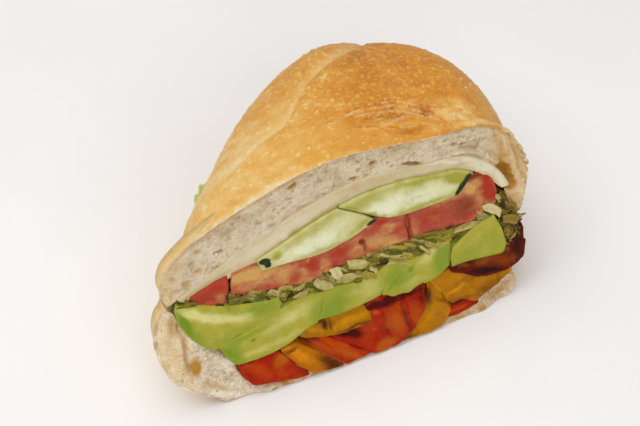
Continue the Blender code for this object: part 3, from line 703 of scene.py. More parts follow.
def crown_crust_relief(rings):
    """Height of the crown's crust above the smooth roll, and its bake and torn marks.  Noise
    gives swells, blisters and wrinkles, round the slash and the cracks."""
    wander = np.stack([noise(rings, 4, 31, 2), noise(rings, 4, 32, 2)], -1)
    plan = rings[..., :2] - (0, CUT_Y)
    x, y = plan[..., 0], plan[..., 1]
    top = ease((x + 10) / 20) * ease((y - 34) / 8)
    height = 0.55 * noise(rings, 26, 1) + 0.20 * noise(rings, 7, 2, 2) - 0.25
    height += (0.05 + 0.07 * top) * noise(rings, 1.7, 3, 2)
    blister = bumps(rings, 2.1, 4, 0.65 - 0.25 * top)
    fleck_and_glint = bumps(rings * [0.7, 1, 1], 1.1, 6, 0.93 - 0.35 * top)
    height += 0.20 * blister + 0.14 * fleck_and_glint

    d, opened, torn, lobe = slash_relief(plan + 0.5 * wander)
    height += opened
    height += LOBE_HEIGHT * lobe
    bake = np.interp(x, (-62, -46, -22, 0, 20, 40, 50, 58, 64),
                     (0.20, 0.28, 0.36, 0.52, 0.70, 0.74, 0.70, 0.52, 0.25))
    broken = ease((noise(rings, 1.6, 15, 2) + 0.40) / 0.5)
    # Each crack: a groove with a painted shadow of darker bake, and a pale ridge that is partly
    # bare dough and partly painted highlight.
    for groove, ridge, groove_shadow in crack_reliefs(plan + 0.45 * wander, broken):
        height -= groove
        torn = np.maximum(torn, ridge)
        bake += groove_shadow
    near = spots(x, y, WRINKLED)
    wrinkle = noise(flat(x / 6, y - 0.15 * x), 1.1, 9, 2)
    height += (0.05 * top + 0.20 * near) * wrinkle
    bake += 0.16 * near * wrinkle
    torn = np.maximum(torn, 0.45 * near * ease((wrinkle - 0.15) / 0.3))

    rough = spots(x, y, ROUGH_SPOTS)
    height += rough * (0.40 * noise(rings, 1.7, 12, 2) - 0.25)
    height += 0.8 * spots(x, y, LUMP, 0.3)
    bake += 0.08 * ease((y - 20) / 40) * ease((x + 20) / 40)
    bake += spots(x, y, BROWN_SPOTS) - spots(x, y, PALE_SPOTS)
    bake -= 0.35 * ease((36 - rings[..., 2]) / 16)
    # Blisters and flecks are painted paler, most over the top: partly paler crust, partly painted
    # glints.
    bake -= 0.12 * ease(1 + (d + 1) / 9) * (d < 0) + 0.20 * blister + 0.42 * fleck_and_glint
    bake += 0.10 * noise(rings, 10, 13, 2) + 0.13 * noise(rings * [0.6, 1, 1], 2.2, 16, 2)
    torn = np.maximum(torn, 0.75 * rough * ease(0.5 + noise(rings, 1.5, 14, 2)))
    behind = y - rings[..., 2] * CUT_SLOPE
    bake -= 0.16 * ease(1 - behind / 3) * ease((10 - x) / 30)
    height -= 2.3 * (ease((-40 - x) / 18) * ease((rings[..., 2] - 38) / 8)
                     * ease(behind / 12))
    return height, bake, torn


def heel_crust_relief(rings):
    """Height of the heel's thin crust, its bake and its torn mark: soft swells, wrinkles that
    run up and down where the dough slumped, and a flat underside."""
    stretched = rings / np.array([1.0, 1.0, 4.0])
    height = (0.45 * noise(rings, 20, 41) + 0.18 * noise(stretched, 2.6, 42)
              + 0.06 * noise(rings, 1.4, 43, 2))
    clear_of_floor = ease((rings[..., 2] - 0.2) / 3)
    bake = 0.16 + 0.34 * ease((12 - rings[..., 2]) / 12) + 0.14 * noise(rings, 9, 44, 2)
    bake += 0.22 * ease(rings[..., 1] / 40) + 0.10 * noise(rings, 2.4, 45, 2)
    return height * clear_of_floor, bake, 0 * bake


def bareness(cut, t):
    """Where the wall just behind the cut is torn crumb and not crust: a deep patch at the
    right-hand end and a narrow one at the left-hand seam."""
    s, h = cut[..., 0], cut[..., 1]
    depth = t * TIP + 0 * s
    depth = depth + 1.6 * noise(np.stack([s, h, depth], -1), 2.5, 25, 2)
    right = (ease((s - 53) / 4) * ease((59 - h) / 3)
             * (1 - ease((depth - 5) / 2)))
    left = (ease((-59 - s) / 2) * (1 - ease((np.abs(h - 34) - 8) / 4))
            * (1 - ease((depth - 2) / 2)))
    return np.maximum(right, left)


def from_seams(columns):
    """How many columns each column of a bread lies from the nearer seam."""
    return np.minimum(np.arange(columns), np.arange(columns)[::-1])


def add_crust(name, bread, columns, deep_rows, relief, material, node):
    """The crust piece of a bread: the whole wall, with its relief on the outside only.  At
    the cut its own face lies back behind the crumb, but not at the left-hand seam."""
    w, inset, t, push, turn = crust_rows(deep_rows)
    rings, cut = bread_grid(bread, columns, w, inset, t, push)
    rings[..., 1] -= np.maximum(push - 0.7, 0) * ease((-56 - cut[..., 0]) / 4)
    height, bake, torn = relief(rings)
    bare = bareness(cut, t[None])
    fibre = noise(rings / np.array([1.2, 0.7, 5.0]), 1.0, 24, 2)
    height = height * (1 - bare) + 0.35 * bare * fibre
    outside = (w == 0) * ease((1 - t) / 0.03)
    edge = ease((from_seams(columns) - 2) / 8)
    raised = rings + outward(rings) * (height * outside * edge[:, None])[..., None]
    crumb = ease((inset + 3 * w - 0.12 + 0.12 * noise(rings, 1.1, 21)) / 0.2)
    crumb = np.maximum(np.maximum(crumb, w > 0), bare)
    straw = bare * ease((cut[..., 0] - 47) / 8)
    marks = {"bake": bake, "torn": np.maximum(torn, straw), "crumb": crumb - 0.5 * straw,
             "pore_shade": 0.3 * bare * fibre, "gold": bare * (0.34 + 0.5 * fibre)}
    raised[:, 0] = raised[:, 0].mean(0)      # all columns meet at the tip
    add_rings(name, raised, marks, material, [node], turn, weld=True)


def pores(cut, deep=1.0):
    """Depth of the crumb's pores at places in the cut, in mm: uneven bubbles of three sizes,
    where noise stands above a level, drawn out along the crust, over slow swells."""
    s, h = cut[..., 0], cut[..., 1]
    places = np.stack([s - 0.35 * h, 1.5 * h + 0.2 * s, 0 * s], -1)
    crowded = 0.6 + 0.5 * noise(places, 12, 49)
    fine = ease((noise(places, 0.9, 53, 2) - 0.02) / 0.45)
    middle = ease((noise(places, 1.8, 57, 2) - 0.10) / 0.45)
    large = ease((noise(places, 4.2, 61, 2) - 0.34) / 0.35)
    return deep * crowded * (0.26 * fine + 0.60 * middle + 0.60 * large)


# The crumb piece behind its face: w, inset, push, and how far the face's shifts reach.
CRUMB_BACK = [(1, 0, 2, 1), (1, 0, CRUMB_DEPTH, 1), (0.75, 0.3, CRUMB_DEPTH, 0.5),
              (0.5, 0.5, CRUMB_DEPTH, 0), (0.25, 0.8, CRUMB_DEPTH, 0), (0, 1.4, CRUMB_DEPTH, 0),
              (0, 1, 2.5, 0)]


def add_crumb(name, bread, columns, face_rows, relief, material, node):
    """The crumb piece of a bread: its cut face, with pores, over a slab behind it.  Hollows
    go straight back into the leaning face.  Both ends are drier and have the torn colour."""
    v = np.linspace(0, 1, face_rows)
    edge = ease(v / 0.08)
    lower = ease((1 - v) / 0.06)
    back_w, back_inset, back_push, back_shift = np.transpose(CRUMB_BACK)
    w = np.concatenate([v, back_w])
    inset = np.concatenate([0.28 * (1 - v) + CRUMB_OVERRUN * v, back_inset])
    push = np.concatenate([0.35 * (1 - edge) + 0.25 * (1 - lower), back_push])
    rings, cut = bread_grid(bread, columns, w, inset, 0 * w, push)
    hollow, pore_shade, gold, ragged = relief(cut, w)
    on_face = np.concatenate([0 * v + 1, 0 * back_w])
    ends = ease(from_seams(columns) / 10)
    fade = np.concatenate([edge * lower, 0 * back_w]) * ends[:, None]
    rings[..., 1] += hollow * fade * 0.95
    rings[..., 2] -= hollow * fade * 0.31
    shifted = np.concatenate([edge, back_shift]) * ends[:, None]
    rings = rings + ragged * shifted[..., None]
    straw = ease((np.abs(cut[..., 0] + 4) - 51) / 8)
    smooth_share = 0.45 * straw * (1 - np.clip(gold, 0, 1))
    marks = {"bake": 0.2 + 0 * hollow, "torn": straw, "crumb": on_face * (1 - smooth_share),
             "pore_shade": pore_shade * on_face, "gold": gold * on_face}
    add_rings(name, rings, marks, material, [node], face_rows + 1)


def crown_crumb_relief(cut, w):
    """The crown's cut face: hollows in mm, marks of painted shade and gold, and sideways shifts.
    Pores and a few bigger holes, and fibres down the right-hand end, where it tore."""
    s, h = cut[..., 0], cut[..., 1]
    places = flat(s, h)
    bubbles = pores(cut)
    right = ease((s - 47) / 8)
    fibre = noise(flat(s * 1.1 + 0.25 * h, h / 5), 1.2, 72, 2)
    holes = spots(s, h, CROWN_HOLLOWS, 0.35)
    hollow = bubbles * (1 - 0.7 * right) + 0.30 * noise(places, 6, 71, 2) + 0.75 * right * fibre
    hollow = hollow + holes
    gold = np.maximum(spots(s, h, CROWN_GOLD, 0.5), 0.45 * ease(1 - w * 7) + 0 * s)
    gold = gold + right * (0.42 + 0.70 * fibre)
    # Painted shade in the pores, the holes and the grooves between the torn fibres.
    pore_shade = 0.7 * bubbles * (1 - 0.7 * right) + 0.35 * holes + right * (0.30 * fibre - 0.15)
    d, along = beside(places, CROWN_FOLD)
    taper = between(along, 0.1)
    ridge = taper * np.exp(-(d / 0.5)**2)
    hollow = hollow - ridge + 0.6 * taper * np.exp(-((np.abs(d) - 1.2) / 0.45)**2)
    # Painted highlight: the fold's ridge is painted lighter.
    pore_shade = pore_shade - 0.6 * ridge
    inward = ease((s - 38) / 8) * ease((h - 26) / 4) * w**3
    inward = inward * (1 + 1.8 * ease((s - 49) / 5))
    shift = 0.8 * right * noise(places / [1.5, 1, 1], 2.6, 73, 2) * (1 - w) - 1.1 * inward
    return hollow, pore_shade, gold, np.stack([shift, 0 * s, -0.6 * inward], -1)


def heel_crumb_relief(cut, w):
    """The heel's cut face: hollows in mm, marks of painted shade and gold, and shifts.  Pores, the
    fold down its left end, dried spots, and a thin lip pressed out below the peppers."""
    s, h = cut[..., 0], cut[..., 1]
    bubbles = pores(cut, 0.8) * (1 - 0.75 * ease((-55.5 - s) / 3))
    d, along = beside(flat(s, h), HEEL_FOLD)
    taper = between(along, 0.15, 0.1)
    fold = taper * np.exp(-(d / 0.55)**2)
    holes = spots(s, h, HEEL_HOLLOWS, 0.35)
    hollow = bubbles + 1.1 * fold - 0.5 * taper * np.exp(-((d + 2.4) / 1.6)**2) + holes
    hollow = hollow + 0.4 * noise(flat(s, h), 7, 81, 2)
    gold = np.maximum(spots(s, h, HEEL_GOLD, 0.5), 0.40 * ease(1 - w * 6))
    # Painted shade in the pores, the fold and the holes; the 0.16 taken off paints the whole face
    # lighter, as painted light.
    pore_shade = 0.32 * bubbles + 0.35 * fold + 0.3 * holes - 0.16
    # Painted shadow under the avocado.
    pore_shade = pore_shade + spots(s, h, HEEL_AVOCADO_SHADOW, 0.3)
    inward = 0.7 * ease((-44 - s) / 3) * w**3
    lip = ease((s + 42) / 8) * ease((48 - s) / 10) * ease((2.6 - h) / 1.6)
    gold = np.maximum(gold, lip * (0.75 + 0.8 * noise(flat(s, h), 2, 83, 2)))
    forward = -2.4 * lip * (1 + 0.3 * noise(flat(s, 0 * s), 6, 82))
    return hollow, pore_shade, gold, np.stack([inward, forward, 0.5 * inward], -1)


# --- The fillings -----------------------------------------------------------------------

# Each lies between an under edge and an over edge in the cut, both from left to right, and
# stands "proud" mm out of the cut.  "rims" says how strongly its left, right, under and over
# borders are skin.  pale, deep and skin are spots (s, h, half-lengths, turn, strength), and
# look names a pepper's colouring.
Filling = namedtuple("Filling", "name proud rims under over pale deep skin look",
                     defaults=((), (), (), ""))
CHEESE = Filling(
    "cheese_slice", 0.2, (0, 0, 0, 0),
    [(-57, 38.8), (-42, 41.2), (-31, 43.3), (-20, 46.9), (-8, 50.5), (2, 52.8), (14, 52.9),
     (30, 50.6), (40.6, 48.4), (46.6, 44.4), (52, 38.4)],
    [(-57.5, 39.2), (-45, 43.8), (-33, 48.6), (-20, 52), (-8, 54.6), (2, 56), (12, 56),
     (25, 54), (38, 52.4), (46.4, 47.8), (51, 42.6), (53.2, 38.4)],
    pale=[(45, 48, 8, 1.3, -38, 1), (51.4, 41.6, 4.4, 1, -66, 1),
          (-24, 48.4, 16, 1.4, 16, 0.5), (34, 52.6, 6, 0.5, -14, 0.9)],
    # The deep spots are painted shade along the slice's edges, mostly the lower one over the
    # cucumber.
    deep=[(-17, 47.6, 13, 0.9, 17, 1), (22, 51.8, 15, 0.4, -6, 0.6),
          (-48, 41.2, 8, 0.6, 14, 0.5), (10, 54.8, 14, 0.9, -3, 0.3)])
CUCUMBER = [
    Filling(
        "cucumber_slice_right", 1.2, (1, 0, 0.2, 0.15),
        [(9, 43.9), (13, 42.4), (21, 41.8), (30, 41.9), (36, 42.3)],
        [(-3.4, 51), (6, 52), (18, 51.6), (30, 49.7), (36.5, 48.9), (41.2, 46.4)],
        pale=[(12, 46.2, 7, 2.4, 5, 1.1), (24, 45.6, 7, 2.2, 0, 0.9),
              (31.5, 45.4, 5, 1.8, 0, 0.6)],
        # Deep spots: the first three, along the upper edge, are painted shade under the cheese;
        # the other two are greener flesh.
        deep=[(22.5, 50.6, 8, 0.8, -7, 0.75), (3, 50.2, 6, 1.3, 10, 0.8),
              (36.4, 47.2, 3.8, 1.8, -24, 1.4), (7.5, 44.6, 5, 0.9, -30, 0.9),
              (24, 42.3, 12, 0.6, 0, 0.7)],
        skin=[(38.2, 44, 3.6, 1.1, 42, 1.3), (40, 45.8, 1.6, 1.2, 60, 1)]),
    Filling(
        "cucumber_slice_left", 1.2, (0.6, 0, 0.1, 0.1),
        [(-31, 40.6), (-24, 40.2), (-13, 39), (-4, 40), (7.5, 43)],
        [(-31.8, 43), (-24, 45.2), (-16, 47.6), (-8, 49.7), (-3.8, 50.4)],
        pale=[(-14, 42.8, 9, 2.2, 8, 1), (-22, 42, 5, 1.3, 3, 0.6), (-4, 45, 4, 2.6, 30, 0.4)],
        # Deep spots: the first, along the upper edge, is painted shade under the cheese; the rest
        # are greener flesh.
        deep=[(-12, 47.6, 9, 1.2, 17, 0.45), (-25.6, 43.2, 1.6, 1.2, 15, 1),
              (3.6, 43.2, 4.5, 0.9, 25, 0.8), (-10, 39.9, 8, 0.5, 3, 0.5)],
        skin=[(-29.9, 42.7, 1.7, 1, -8, 1.1), (-29.3, 41.5, 1.2, 1, -30, 1.1),
              (7.2, 43, 2.4, 0.7, 15, 1.2)]),
]
TOMATO = [
    Filling(
        "tomato_slice_left", 1, (0.5, 0.9, 0.2, 1),
        [(-54.4, 37), (-49, 34.9), (-44.2, 34)],
        [(-54.6, 38.5), (-48, 40.3), (-42.6, 41.2)],
        pale=[(-45.6, 35.8, 1.4, 1, -20, 0.4)], deep=[(-51, 37.4, 4, 1.4, -5, 0.5)],
        skin=[(-42.6, 38.6, 0.9, 2.6, 10, 1), (-48, 38.6, 5, 1.8, 12, 0.9)]),
    Filling(
        "tomato_slice_middle", 1, (0.2, 0.5, 0.3, 0.15),
        [(-41.5, 36.6), (-37, 34.8), (-29, 33.3), (-20, 31.8), (-16, 31.2), (-8, 32.6), (5, 33.4),
         (17.5, 32.8)],
        [(-40.6, 41.2), (-33.2, 41.9), (-31, 40.6), (-22, 39.6), (-13, 38.6), (-2, 40.2), (8, 43),
         (12, 41.9), (17.6, 41.3)],
        pale=[(-36.6, 40.1, 5.8, 1.6, 0, 1.3), (-29, 38.4, 4, 1.5, 10, 0.8),
              (-24, 36, 3.4, 2.4, -25, 0.85), (-34, 36.4, 7, 1.3, -8, 0.5),
              (-18.6, 33, 1.8, 2.2, 15, 0.5), (-11, 34.4, 1.5, 2.6, 0, 0.5),
              (0.5, 36, 3.2, 3, 10, 0.45), (8.5, 35.4, 5, 1.8, -15, 0.75),
              (12.6, 38.8, 2.6, 1.1, -10, 0.45), (-16.3, 37.5, 0.6, 0.6, 0, 1)],
        # Deep spots: painted shade in two hollows and in the gap to the right-hand slice.
        deep=[(2.3, 37, 0.9, 0.8, 0, 1.3), (2.6, 35.4, 0.7, 1.5, 5, 0.8),
              (17.9, 37, 0.5, 4.2, 2, 0.9)],
        skin=[(-21.4, 33.8, 1.6, 2.2, 20, 0.7), (-15, 36, 2, 1.7, -10, 1),
              (-5.5, 37, 3.4, 1.3, 8, 0.9), (9, 41.6, 2.2, 0.8, 15, 1),
              (15.4, 38, 1.8, 1.5, 0, 0.6), (-7, 33.6, 4, 0.6, 5, 0.4)]),
    Filling(
        "tomato_slice_right", 0.8, (0.9, 0.9, 0.3, 0.2),
        [(18.6, 33.2), (25, 33), (30, 32.2), (34, 31.6), (39, 31.2), (42, 32.2), (46, 33.6),
         (48.4, 34.8)],
        [(18.6, 41.2), (28, 41.3), (35.5, 41.8), (40.5, 44.6), (44.3, 45), (48.1, 41.6),
         (49, 37.8)],
        pale=[(40.3, 41.8, 1.8, 2.2, 25, 1.5), (43.4, 42.4, 1.2, 1.3, 0, 0.6),
              (45.8, 34.3, 2, 1, 5, 1), (31.5, 40.6, 3.4, 0.5, 0, 0.7),
              (20.6, 35.6, 1.4, 2.4, 0, 0.4), (43, 37.5, 1, 3.5, 10, 0.55),
              (37, 41.6, 4, 0.6, 15, 0.7)],
        # Deep spots: sunk places painted darker, as painted shade, in the middle, in the gap to
        # the middle slice and under the cheese.
        deep=[(37.6, 36.6, 3.6, 3.2, 0, 0.75), (19, 37, 0.5, 3.8, 3, 1),
              (43.2, 45.2, 3, 1, -15, 1.2)],
        skin=[(26, 37, 4.6, 2.2, 0, 0.6), (46.9, 39.4, 1.7, 4.2, 8, 1.4)]),
]
AVOCADO = [
    Filling(
        "avocado_slice_1", 1.6, (0.9, 0, 0.5, 0),
        [(-60, 36), (-58.6, 30.8), (-55, 25.2), (-49.3, 21), (-39, 22.9), (-28.3, 25.4)],
        [(-60.2, 36.9), (-55, 35.9), (-50, 34.2), (-45, 32.2), (-38, 30.6), (-28.3, 28.6)],
        pale=[(-54, 33.6, 6.5, 1.4, -30, 1.2), (-45.5, 29.4, 7, 1.3, -20, 1),
              (-39, 28, 3, 0.8, -10, 0.7)],
        deep=[(-33, 28.6, 5, 2.4, -10, 0.9), (-44, 23.6, 10, 1, 6, 0.5),
              (-56.2, 28, 2, 4.5, 28, 0.8), (-36.4, 29.2, 1.5, 0.9, 0, 1.2),
              (-43, 31.6, 2.4, 0.9, -20, 0.6)],
        skin=[(-58.4, 32.2, 1.1, 3.8, 18, 1.2), (-44, 21.9, 7, 0.35, 9, 0.9)]),
    Filling(
        "avocado_slice_2", 1.8, (0.6, 0, 0.3, 0.2),
        [(-45.2, 14.2), (-43.2, 13.2), (-35, 13), (-27, 14.2), (-21.5, 16.4), (-16.9, 17.9)],
        [(-48.8, 20.4), (-38, 22.2), (-27.6, 25), (-20, 25.9), (-13.9, 25.2)],
        pale=[(-25, 22.4, 8, 1.8, 8, 0.6), (-34, 15.4, 8, 0.9, 4, 0.4)],
        deep=[(-44.6, 17.2, 2.4, 4.2, 12, 1.1), (-40, 21.2, 8, 0.8, 8, 0.8),
              (-16, 21, 2.4, 3.5, -20, 0.8)],
        skin=[(-46.4, 18, 0.7, 3.2, 40, 0.9), (-38.2, 19.1, 0.8, 0.5, 0, 1.1),
              (-14.2, 20.4, 0.6, 1.2, 10, 0.7)]),
    Filling(
        "avocado_slice_3", 1.4, (0.2, 0, 0.3, 0.2),
        [(-16.1, 18), (-10, 17.2), (-3, 17.4), (5.4, 18.2)],
        [(-13, 25.4), (-6, 25), (3, 24.6), (9.2, 26.5)],
        pale=[(1, 22, 5, 2.6, 0, 0.35)],
        deep=[(-10, 19.6, 4, 3.2, 30, 1.25), (-7, 23.6, 4, 1.5, 0, 0.6),
              (6.6, 22, 1.2, 3.6, -30, 0.5)]),
    Filling(
        "avocado_slice_4", 1.2, (0.2, 0.3, 0.3, 0),
        [(6.6, 18), (10, 15.6), (14, 15.4), (19, 16.5), (25, 17.2), (29.8, 19.6)],
        [(10.3, 27.2), (15.5, 25.6), (21, 24.9), (26, 27), (31, 28.4)],
        pale=[(24, 25, 4.5, 1.3, 20, 0.6), (16, 18.4, 4, 1.4, 0, 0.3)],
        deep=[(12, 21.6, 4, 4.2, -40, 0.9), (28.4, 22, 2.6, 4.6, -25, 1.3),
              (16.5, 22.6, 1.4, 0.8, 20, 0.9)],
        skin=[(10.6, 20, 3.4, 0.3, 42, 0.9), (16.4, 22.6, 0.7, 0.6, 20, 0.8)]),
    Filling(
        "avocado_slice_5", 2, (0.3, 0, 0.8, 0),
        [(31, 19.8), (38, 19.3), (45, 18.3), (48.6, 18), (49.9, 20.4)],
        [(31.8, 24), (36, 26.4), (41, 28.6), (47.2, 29.8)],
        pale=[(37, 24.2, 4, 0.7, 35, 0.2)],
        deep=[(37, 22, 6, 2.2, 10, 0.5), (45, 23, 3, 3, 0, 0.5)]),
]
# The share of its standing out that a pepper strip's upper edge loses, because it sags.
PEPPER_SAG = 0.6
# A strip's deep spots are painted shade, mostly along its upper edge under the strip or slice
# above; its pale spots are partly paler flesh and partly painted highlights.
PEPPERS = [
    Filling(
        "pepper_strip_1", 2.8, (0.2, 0, 0.2, 0),
        [(-43.6, 9.4), (-40.6, 5.4), (-34, 3.7), (-27, 2.2), (-22.2, 1.4)],
        [(-44.3, 12.7), (-38, 12.7), (-31, 11.8)],
        pale=[(-38.5, 9, 5, 1.6, -40, 0.5), (-29, 4.4, 5, 1, -35, 0.3)],
        deep=[(-36, 12.4, 9, 0.6, 0, 1), (-27.5, 10.4, 2.6, 1.4, -20, 0.9)],
        skin=[(-30.4, 8.7, 2.3, 1.5, 5, 1.4)], look="red"),
    Filling(
        "pepper_strip_2", 3.6, (0.2, 0, 0, 0),
        [(-21.5, 2.5), (-16, 1.2), (-10.7, 1.1)],
        [(-29.8, 11.4), (-27, 12), (-23.9, 12)],
        pale=[(-24.4, 8.8, 4, 1.2, -38, 1), (-19, 5.4, 3, 1, -38, 0.6)],
        deep=[(-14, 2.6, 5, 2, -35, 0.9), (-27, 11, 2, 0.6, 0, 0.8)], look="orange"),
    Filling(
        "pepper_strip_3", 3.3, (0.9, 0, 0, 0.2),
        [(-10.6, 1.1), (-4, 1.2), (-1.1, 1.3)],
        [(-23.1, 12.9), (-18, 12.2), (-13.8, 10.4)],
        pale=[(-12, 8, 8, 0.9, -38, 0.9), (-4, 3.2, 3.5, 0.8, -40, 0.6)],
        deep=[(-21.5, 12.2, 3.5, 0.8, -10, 1), (-8, 8.6, 7, 0.4, -38, 0.9)],
        skin=[(-8, 3, 6, 1.2, -38, 0.9), (-16, 8.2, 5, 0.8, -42, 0.7)], look="red"),
    Filling(
        "pepper_strip_4", 2.6, (0, 0.3, 0.2, 0),
        [(-21.6, 14.4), (-17, 12.9), (-12, 11.6), (-6, 11.2), (0.6, 11.8)],
        [(-23.4, 14.9), (-16.4, 17.5), (-12, 16.8), (-6, 17.2), (-1, 16.9)],
        pale=[(-5.5, 14, 6.5, 0.9, 3, 0.9), (-18, 15, 4, 0.6, -25, 0.7),
              (-10, 12.6, 4, 0.6, -4, 0.5)],
        deep=[(-14.6, 15.8, 0.9, 1.7, -10, 1), (-12.6, 14.8, 0.6, 1.6, 0, 0.7),
              (-15.4, 17.1, 1.2, 0.5, 0, 1), (-4, 11.6, 6, 0.4, 2, 0.9)], look="yellow"),
    Filling(
        "pepper_strip_5", 3.6, (0, 0.2, 0, 0),
        [(-0.3, 1.2), (4, 0.8), (7.8, 1.2), (14, 4.2), (17.9, 8.4)],
        [(-12.9, 10.6), (-7, 10.8), (-1.2, 11.4), (0.3, 16), (6.5, 17), (10, 15.2), (14, 15),
         (20.8, 16.3)],
        pale=[(-0.6, 9, 2.4, 4.5, -10, 0.45), (2.6, 13.4, 1.2, 0.5, -30, 1),
              (1, 8.3, 1, 0.4, -20, 1), (11.5, 12, 1.4, 0.7, -45, 0.8),
              (15, 8, 0.6, 3.5, 10, 0.5)],
        deep=[(-7.5, 10, 4.5, 1.4, -25, 1.3), (8, 15.4, 12, 1.2, 0, 1.2),
              (12.4, 8.6, 0.5, 4, 8, 0.9), (19.6, 13, 2, 2, 0, 0.8), (5.4, 6, 0.5, 4, 10, 0.6)],
        skin=[(8.8, 8.4, 2.8, 3.8, 20, 0.8), (16.6, 7.8, 1.6, 3.2, 10, 0.6),
              (4, 2.2, 3, 1.3, 15, 1.2)], look="red"),
    Filling(
        "pepper_strip_6", 3.4, (0, 0, 0, 0),
        [(9.3, 1.6), (17, 1.2), (23.4, 1.6), (28.2, 5.8)],
        [(15.3, 4.4), (19.1, 8.3), (21.1, 12.5), (22.1, 15.6)],
        pale=[(20, 5, 4, 1.4, 50, 0.5), (27.6, 4.8, 2, 0.5, 45, 1)],
        deep=[(20.8, 12.4, 1.8, 2.6, -10, 1.1), (27, 8.4, 3.5, 0.8, -35, 0.7),
              (12, 1.6, 4, 0.6, 5, 0.6)], look="amber"),
    Filling(
        "pepper_strip_7", 2, (0, 0, 0, 0),
        [(29, 6.4), (33.5, 6.6), (37.4, 4.6), (42, 6), (50.4, 9.9)],
        [(22.6, 16.2), (26, 16.9), (31.5, 16.4), (36.5, 13.6), (40.5, 12.2), (51, 11.8)],
        pale=[(32, 10.6, 7, 0.6, 20, 0.9), (25.4, 11.6, 4.5, 0.7, -62, 0.8),
              (30, 14, 5, 1, -5, 0.4)],
        deep=[(44, 7.4, 6, 1.6, 5, 0.45), (37, 12.4, 5, 0.8, 10, 0.4), (33, 6.8, 4, 0.5, 0, 0.5)],
        look="amber"),
    Filling(
        "pepper_strip_8", 1.6, (0, 0, 0, 0),
        [(25.4, 2.4), (31, 1.9), (38, 2.9)],
        [(29.4, 5.8), (33, 6.2), (37.4, 3.4)],
        pale=[(31, 3.4, 4, 0.4, 8, 0.9)], deep=[(31.6, 5.6, 3, 0.5, 0, 0.9)], look="red"),
    Filling(
        "pepper_strip_9", 1.6, (0, 0, 0, 0),
        [(30.6, 17.4), (36.5, 14), (41, 11.6), (50.5, 11), (56.3, 13)],
        [(30.6, 19.2), (38, 19), (45, 18.4), (50.5, 18.4), (57.2, 22.6)],
        pale=[(41.4, 16.4, 2.4, 1.3, 0, 1.3), (50.6, 17.2, 1.2, 0.6, -30, 1.3),
              (34.6, 17.2, 2, 0.6, -25, 0.9), (53.2, 14.2, 0.7, 1.6, -20, 0.9)],
        deep=[(42, 12.8, 5, 0.9, -10, 1.1), (36.5, 18.6, 6, 0.5, 5, 1),
              (54.6, 17.5, 1.6, 5, -15, 0.8)],
        skin=[(48, 14.6, 4, 1.6, -20, 0.4)], look="dark"),
]
SPROUTS = Filling(
    "sprouts", 1.4, (0, 0, 0, 0),
    [(50.9, 19.2), (53.8, 19.4), (56.2, 20.2)],
    [(49.2, 32.6), (50.6, 36.1), (52.4, 35.4), (54.2, 29.5)])
LETTUCE = Filling(
    "lettuce", 1.2, (0, 0, 0, 0),
    [(-58.6, 37.2), (-50, 34), (-43, 30.6), (-36, 30.6), (-27.6, 29), (-23, 27), (-13.6, 26.4),
     (-6, 25.7), (3, 25.4), (9.4, 28), (15.5, 26.6), (21, 25.7), (26, 27.9), (31, 27.9),
     (36, 28.7), (41, 29.8), (46.2, 31.2)],
    [(-58.6, 37.9), (-54.6, 37), (-49, 34.7), (-44.2, 34.1), (-41.7, 36), (-37, 34.2), (-29, 32.7),
     (-16, 30.9), (-6, 31.9), (5, 32.6), (17.5, 32.3), (26, 31.7), (34, 31), (41, 30.6),
     (46.4, 32.4)])

# How strongly the pale, deep and skin marks show on each kind of shred.
# The last kind is a dark shred painted where there is only shade between the others.
SHRED_KINDS = {"rib": (1.2, 0, 0), "cream": (0.55, 0, 0.05), "lime": (0.15, 0, 0),
               "green": (0, 0.6, 0), "dark": (0, 0.8, 0.3), "olive": (0.1, 0.2, 0.3),
               "tan": (0.45, 0, 0.25), "black": (0, 0.6, 1.0)}
# How the smaller shreds are drawn: s, share of the layer's height, length, width, turn, how far
# forward, kind; and the sprouts' smaller stems, with h in place of the share and one width.
SMALL_SHREDS = (("uniform", -56, 46), ("uniform", 0.1, 0.9), ("uniform", 5, 9.5),
                ("uniform", 1.8, 5), ("normal", -18, 20), ("uniform", 0.25, 0.5),
                ("choice", ("cream", "lime", "lime", "lime", "green", "green", "olive")))
SMALL_STEMS = (("uniform", 49.5, 55.5), ("uniform", 20.5, 33), ("uniform", 3, 7),
               ("normal", -50, 35), ("uniform", 0, 1.4),
               ("choice", ("olive", "dark", "tan", "lime")))
STEM_WIDTH = 0.6
